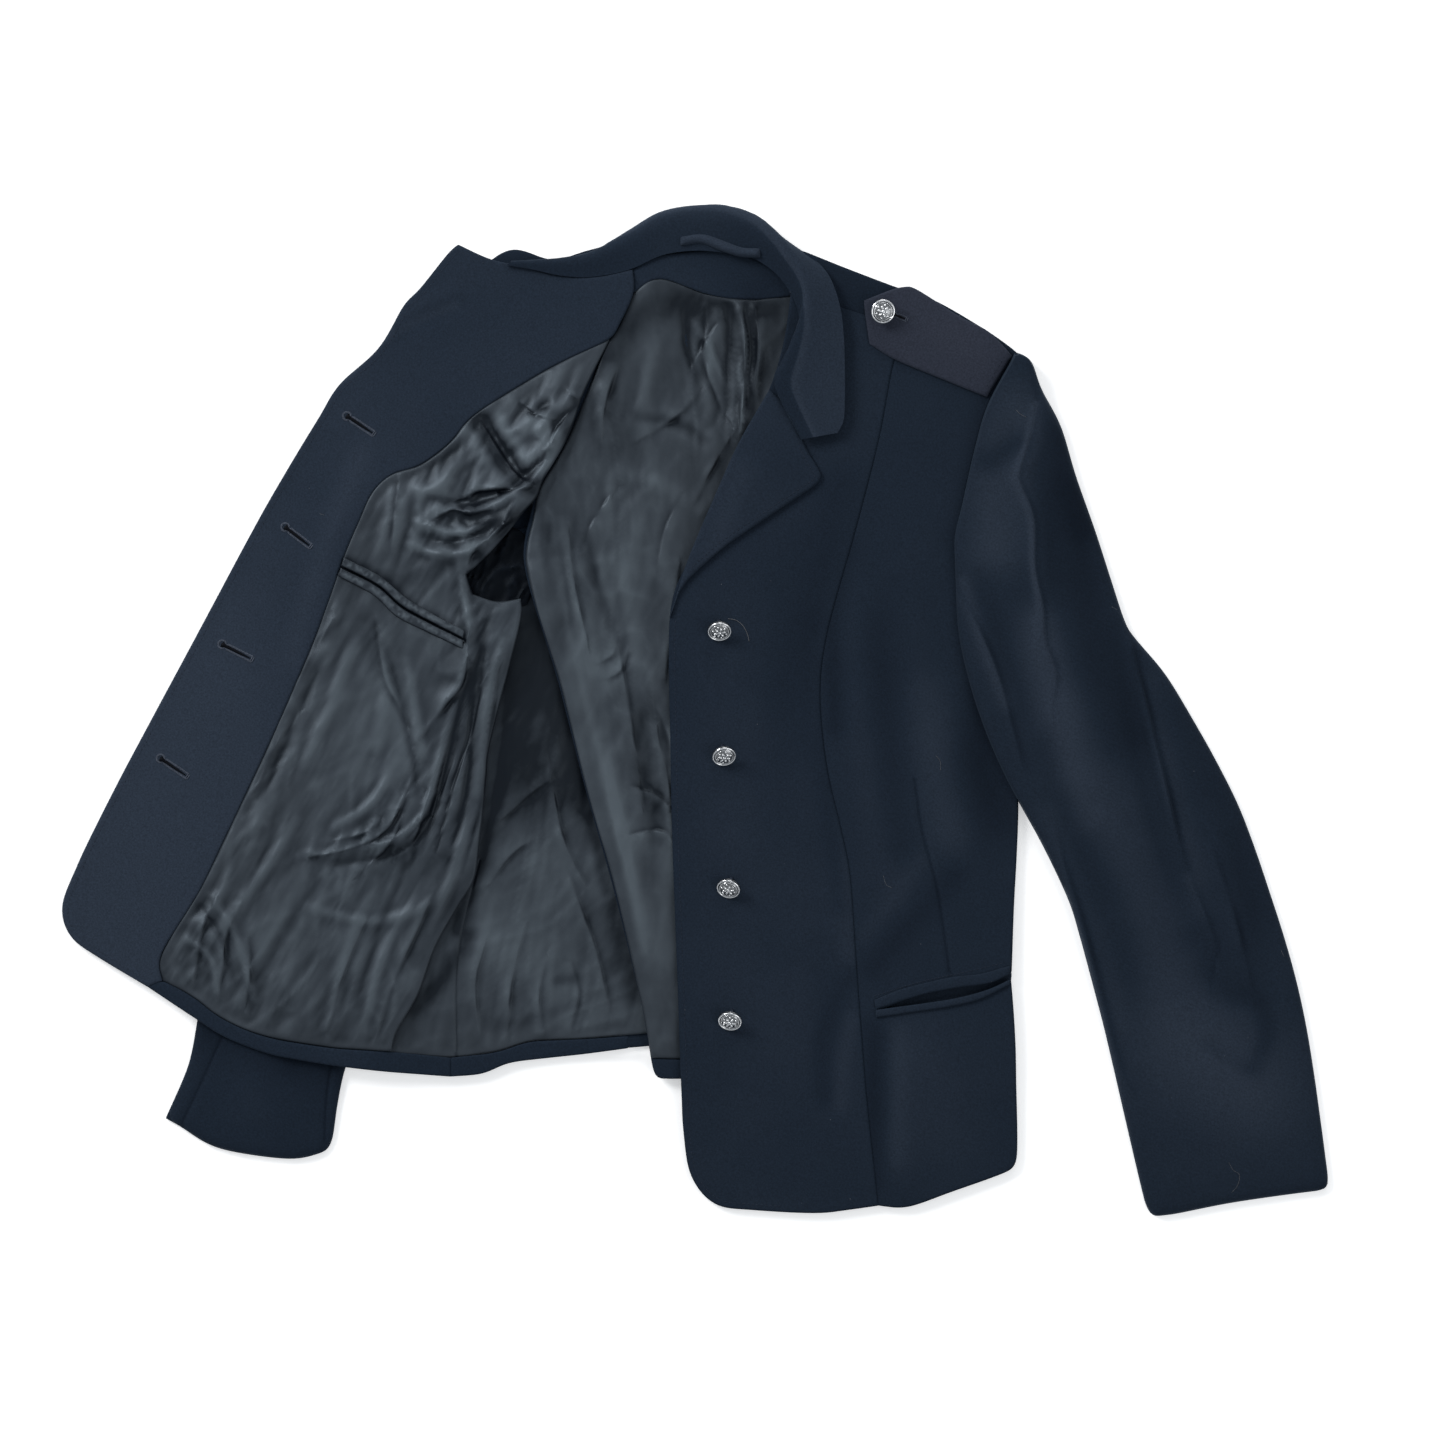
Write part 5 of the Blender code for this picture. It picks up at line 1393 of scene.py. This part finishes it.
def thread_material(name, colour):
    mat, tree, shader = new_material(name, colour, 0.6)
    shader.inputs["Specular IOR Level"].default_value = 0.08
    place = add(tree, "ShaderNodeTexCoord")
    twist = add(tree, "ShaderNodeTexNoise", Vector=place.outputs["Object"], Scale=1600.0, Detail=2.0)
    dark = tuple(c * 0.6 for c in colour)
    pale = tuple(c * 1.3 for c in colour)
    tree.links.new(ramp(tree, twist.outputs["Fac"], [(0.3, dark), (0.7, pale)]), shader.inputs["Base Color"])
    return mat


TOP_THREAD = thread_material("top_thread", (0.024, 0.031, 0.047))
HOLE_THREAD = thread_material("buttonhole_thread", (0.066, 0.078, 0.104))
HAIR = thread_material("lint", (0.11, 0.115, 0.125))
# The slit's colour is painted shade: a dark tube stands for the shadow in the opening
SLIT_PAINTED_SHADE = thread_material("painted_shade_slit", (0.0015, 0.002, 0.004))

# %% rows of top stitching
top = Thread("top_stitching", TOP_THREAD)
sew(top, beside("left_front", (-8, 60), (60, -330), 4.0), ["left_front_cloth"])
sew(top, beside("left_lapel", (-8, 60), (66, 176), 4.0), ["left_lapel_cloth"])
sew(top, beside("epaulette", (206, 208), (205, 232), 4.0), ["epaulette_cloth"])
sew(top, beside("right_facing", (-140, 300), (-360, -230), 4.0), ["right_facing_cloth"])
collar_edge = np.array([(row[8], row[9]) for row in COLLAR[10:]], float)
sew(top, collar_edge - np.array([3.6, 1.2]), ["collar_cloth"])
sew(top, [(119, -190), (150, -180.5), (180, -174), (205, -168)], ["left_side_front_cloth"], step=2.6)
top.finish()

# %% buttonholes
HOLES = [((-232, 196), (-214, 184)), ((-273, 122), (-256, 109)), ((-315, 44), (-295, 34)),
         ((-356, -32), (-338, -44))]
EYE = 2.7
LIP = 1.75
BAR = 0.6
STITCH_EVERY = 0.52
# Along the slit, from the eye at 0 to the far end at 1, and half the width there
SLIT_SHAPE = ((-0.03, 0.6), (0.0, 2.1), (0.08, 1.5), (0.2, 1.05), (0.6, 0.95), (0.97, 0.4))


def buttonhole(thread, painted_shade_slit, eye, end, names, size=1.0):
    """Close stitches round a keyhole, with a dark tube of painted shade in the slit."""
    eye, end = np.array(eye, float), np.array(end, float)
    along = (end - eye) / np.linalg.norm(end - eye)
    across = np.array([-along[1], along[0]])
    round_eye = [eye - EYE * size * (along * math.cos(a) + across * math.sin(a))
                 for a in np.linspace(math.radians(-125), math.radians(125), 18)]
    beside_slit = across * LIP * size
    neck = eye + along * EYE * size * 1.4
    path = [end - beside_slit, neck - beside_slit, *round_eye, neck + beside_slit, end + beside_slit]
    walked = walked_along(path)
    for k, at in enumerate(np.arange(0, walked[-1], STITCH_EVERY)):
        here = place_at(path, walked, at)
        ahead = place_at(path, walked, at + 0.3) - here
        if np.linalg.norm(ahead) < WELD:
            continue
        out = np.array([-ahead[1], ahead[0]]) / np.linalg.norm(ahead)
        reach = (0.75 + 0.12 * noise.noise(Vector((k * 0.7, here[0], here[1])))) * size
        laid = lie_on([here - out * reach, here + out * reach], names)
        if len(laid) == 2:
            thread.stitch(laid[0], laid[1], 0.28 * size)
    for offset in (-BAR, BAR):
        middle = end + along * offset
        laid = lie_on([middle - across * 2.0 * size, middle + across * 2.0 * size], names)
        thread.stitch(laid[0], laid[1], 0.4 * size)
    inner = lie_on([eye + (end - eye) * t for t, _ in SLIT_SHAPE], names)
    painted_shade_slit.tube(inner - np.array([0, 0, 0.25 * size]), [size * width for _, width in SLIT_SHAPE], 8)


holes = Thread("buttonhole_stitches", HOLE_THREAD)
painted_shade_slits = Thread("buttonhole_slits_painted_shade", SLIT_PAINTED_SHADE)
for eye, end in HOLES:
    buttonhole(holes, painted_shade_slits, eye, end, ["right_facing_cloth"])
buttonhole(holes, painted_shade_slits, (131.7, 263.7), (140.5, 260.2), ["epaulette_cloth"], size=0.8)
holes.finish()
painted_shade_slits.finish()

# %% loose ends, lint and hairs
LOOSE_END = 0.22
HAIR_THICK = 0.10
FLUFF_ON = ["left_front_cloth", "left_side_front_cloth", "left_sleeve_upper_cloth", "right_facing_cloth",
            "left_shoulder_cloth"]
# The first is the loose end of thread at the top button
FLUFF = [
    [(21.7, 61), (27, 60), (31.5, 56.5), (34.5, 51), (35.7, 46)],
    [(355, -301), (358, -306), (362, -309), (361, -316), (357, -321)],
    [(213, 200), (216, 197), (220, 195)],
    [(277, 69), (281, 67)],
    [(390, -160), (392, -164)],
    [(-214, 250), (-206, 256)],
    [(-250, 131), (-247, 130)],
    [(125, -110), (127, -116), (131, -118)],
    [(160, -30), (163, -34), (163, -40)],
]
fluff = Thread("lint_and_loose_thread", HAIR)
for k, route in enumerate(FLUFF):
    run = through(np.array(route, float), 1.0)
    laid = lie_on(run, FLUFF_ON)
    thick = LOOSE_END if k == 0 else HAIR_THICK
    if len(laid) > 2:
        laid[:, 2] += thick * 1.1
        fluff.tube(laid, [thick] * len(laid))
fluff.finish()

# %% [markdown]
# ## Buttons
# A uniform button is a hollow stamped dome on a wire shank. One is modelled with primitives and edit-mode
# operators: a disc whose top is inset and raised in rings, a polished rim, and a plain rosette in place of
# any badge. The ground between the raised parts has gone dark, so it has its own finish. The rest are copies
# with their own meshes, turned as they lie on their shanks.

# %% two finishes of silver


def silver(name, bright, dull, smooth, rough):
    mat, tree, shader = new_material(name, bright, smooth, 1.0)
    place = add(tree, "ShaderNodeTexCoord")
    scuffs = add(tree, "ShaderNodeTexNoise", Vector=place.outputs["Object"], Scale=900.0, Detail=4.0,
                 Roughness=0.6)
    worn = ramp(tree, scuffs.outputs["Fac"], [(0.35, (smooth,) * 3), (0.75, (rough,) * 3)])
    tree.links.new(worn, shader.inputs["Roughness"])
    tarnish = ramp(tree, scuffs.outputs["Fac"], [(0.3, dull), (0.55, bright)])
    tree.links.new(tarnish, shader.inputs["Base Color"])
    return mat


SILVER = silver("silver_relief", (0.86, 0.87, 0.88), (0.62, 0.63, 0.65), 0.10, 0.24)
SILVER_GROUND = silver("silver_ground", (0.34, 0.35, 0.36), (0.13, 0.135, 0.14), 0.22, 0.4)

# %% a button
BUTTON_RADIUS = 8.0 * MM
PETALS = 6
# Steps from the rim to the middle of the dome: how far in and how far up, in millimetres
DOME_STEPS = ((0.9, 0.0), (0.35, -0.35), (0.5, 0.5), (1.3, 0.75), (1.6, 0.6), (1.6, 0.3))
# Rings: radius, half thickness and height
RIM = (7.35, 0.7, 0.75)
INNER_RING = (5.9, 0.28, 1.35)
SHANK = (2.3, 0.6, -2.8)
# Beads: distance from the middle, height and half sizes
BOSS = (0.0, 2.7, (1.25, 1.25, 0.8))
PETAL = (2.75, 2.35, (1.5, 0.85, 0.85))
BEAD = (4.5, 1.85, (0.75, 0.75, 0.65))


def deselect():
    bpy.ops.object.select_all(action="DESELECT")


def dome():
    """A disc raised in rings to a low dome."""
    deselect()
    bpy.ops.mesh.primitive_cylinder_add(vertices=48, radius=BUTTON_RADIUS, depth=1.4 * MM, location=(0, 0, 0))
    obj = bpy.context.object
    bpy.ops.object.mode_set(mode="EDIT")
    bpy.ops.mesh.select_all(action="DESELECT")
    bm = bmesh.from_edit_mesh(obj.data)
    bm.select_mode = {"FACE"}
    for face in bm.faces:
        face.select_set(face.normal.z > 0.9)
    bmesh.update_edit_mesh(obj.data)
    bpy.ops.mesh.select_mode(type="FACE")
    for inset, rise in DOME_STEPS:
        bpy.ops.mesh.inset(thickness=inset * MM)
        bpy.ops.transform.translate(value=(0, 0, rise * MM))
    bpy.ops.object.mode_set(mode="OBJECT")
    return obj


def ball(away, height, size, turn=0.0):
    """A flattened ball at a distance from the middle, in the direction of its turn."""
    place = (away * math.cos(turn), away * math.sin(turn), height)
    deselect()
    bpy.ops.mesh.primitive_uv_sphere_add(segments=16, ring_count=10, radius=1.0 * MM,
                                         location=[v * MM for v in place], rotation=(0, 0, turn))
    obj = bpy.context.object
    obj.scale = size
    bpy.ops.object.transform_apply(location=True, rotation=True, scale=True)
    return obj


def ring(major, minor, height, turn=(0.0, 0.0, 0.0)):
    deselect()
    bpy.ops.mesh.primitive_torus_add(major_radius=major * MM, minor_radius=minor * MM, major_segments=48,
                                     minor_segments=10, location=(0, 0, height * MM), rotation=turn)
    return bpy.context.object


def give(obj, material):
    obj.data.materials.clear()
    obj.data.materials.append(material)
    return obj


parts = [give(dome(), SILVER_GROUND), give(ring(*RIM), SILVER), give(ring(*INNER_RING), SILVER),
         give(ball(*BOSS), SILVER)]
for k in range(PETALS):
    angle = 2 * math.pi * k / PETALS
    parts.append(give(ball(*PETAL, angle), SILVER))
    parts.append(give(ball(*BEAD, angle + math.pi / PETALS), SILVER))
parts.append(give(ring(*SHANK, (math.pi / 2, 0.0, 0.0)), SILVER_GROUND))
deselect()
for part in parts:
    part.select_set(True)
bpy.context.view_layer.objects.active = parts[0]
bpy.ops.object.join()
pattern = bpy.context.object
pattern.name = "button_pattern"
print("button:", len(pattern.data.polygons), "faces")

# %% place the buttons
FRONT_TILT = 42.0
# A front button's thread: how far up the garment its foot and head are, its rise, and where its strands are
THREAD_FOOT = 7.6
THREAD_HEAD = 5.0
THREAD_RISE = 5.0
STRANDS = (-0.5, 0.0, 0.5)
# Each button's tilt towards the hem, its turn and the turn of its rosette
BUTTON_PLACES = {
    "button_1": (FRONT_TILT, 4.0, 10.0),
    "button_2": (FRONT_TILT, 10.0, 40.0),
    "button_3": (FRONT_TILT, -16.0, 25.0),
    "button_4": (FRONT_TILT, -10.0, 5.0),
    "button_epaulette": (12.0, 30.0, 15.0),
}
shanks = Thread("button_shank_thread", TOP_THREAD)
for node, (tilt, turn, spin) in BUTTON_PLACES.items():
    low, high = (Vector(corner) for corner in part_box(node))
    copy = bpy.data.objects.new(node + "_metal", pattern.data.copy())
    bpy.context.scene.collection.objects.link(copy)
    tip = (Matrix.Rotation(math.radians(turn), 4, "Z") @ Matrix.Rotation(math.radians(tilt), 4, "X")
           @ Matrix.Rotation(math.radians(spin), 4, "Z"))
    centre = (low + high) / 2
    top_height = max((tip @ v.co).z for v in copy.data.vertices)
    copy.data.transform(Matrix.Translation((centre.x, centre.y, high.z - top_height)) @ tip)
    copy.data.shade_smooth()
    copy.data.set_sharp_from_angle(angle=math.radians(50))
    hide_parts(node)
    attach(copy, "root")
    if tilt == FRONT_TILT:
        lean = np.array([-math.sin(math.radians(turn)), math.cos(math.radians(turn))])
        middle = np.array(centre[:2]) / MM
        head = middle + lean * THREAD_HEAD
        base = lie_on([middle + lean * THREAD_FOOT], ["left_front_cloth"])[0]
        for offset in STRANDS:
            start = base + np.array([offset, 0, -0.4])
            end = np.array([head[0] - offset, head[1], base[2] + THREAD_RISE])
            shanks.tube([start, 0.5 * (start + end) + np.array([offset, 0, 0.4]), end], [0.55, 0.5, 0.5])
shanks.finish()
bpy.data.objects.remove(pattern)

# %% [markdown]
# ## Floor, light and camera
# The garment lies on a white sweep, seen from straight above. A large soft light comes in low from the upper
# left, so that it shows the relief of the cloth, and weaker ones fill the other side.

# %% stage
FLOOR_SIZE = 8.0
FLOOR_DROP = 0.0005
PAPER_GLOW = 0.42
SKY = (0.90, 0.95, 1.0)
SKY_STRENGTH = 0.42

bpy.ops.mesh.primitive_plane_add(size=FLOOR_SIZE, location=(0, 0, -FLOOR_DROP))
floor = bpy.context.object
floor.name = "floor"
paper, _, paper_shader = new_material("paper", (0.86, 0.86, 0.86), 0.95)
paper_shader.inputs["Emission Color"].default_value = (*WHITE, 1.0)
paper_shader.inputs["Emission Strength"].default_value = PAPER_GLOW
floor.data.materials.append(paper)


def softbox(name, place, size, power):
    """A square area light that looks at the garment."""
    light = bpy.data.lights.new(name, "AREA")
    light.size = size
    light.energy = power
    obj = bpy.data.objects.new(name, light)
    obj.location = place
    obj.rotation_euler = (Vector((0, 0, 0)) - Vector(place)).to_track_quat("-Z", "Y").to_euler()
    bpy.context.scene.collection.objects.link(obj)


softbox("window", (-2.6, 2.2, 2.1), size=1.5, power=120.0)
softbox("fill", (2.6, -0.9, 2.6), size=2.2, power=30.0)
softbox("head", (0.5, 3.0, 1.4), size=1.6, power=24.0)
world = bpy.data.worlds.new("studio")
world.use_nodes = True
sky = world.node_tree.nodes["Background"]
sky.inputs["Color"].default_value = (*SKY, 1.0)
sky.inputs["Strength"].default_value = SKY_STRENGTH
bpy.context.scene.world = world
bpy.context.scene.view_settings.view_transform = "Standard"

# %% camera
CAMERA_HEIGHT = 5.0
FIELD = 0.9633
SENSOR = 36.0
VIEW_CENTRE = (0.018, -0.008)
camera_data = bpy.data.cameras.new("camera")
camera_data.sensor_width = SENSOR
camera_data.lens = SENSOR * CAMERA_HEIGHT / FIELD
camera = bpy.data.objects.new("camera", camera_data)
camera.location = (*VIEW_CENTRE, CAMERA_HEIGHT)
bpy.context.scene.collection.objects.link(camera)
bpy.context.scene.camera = camera
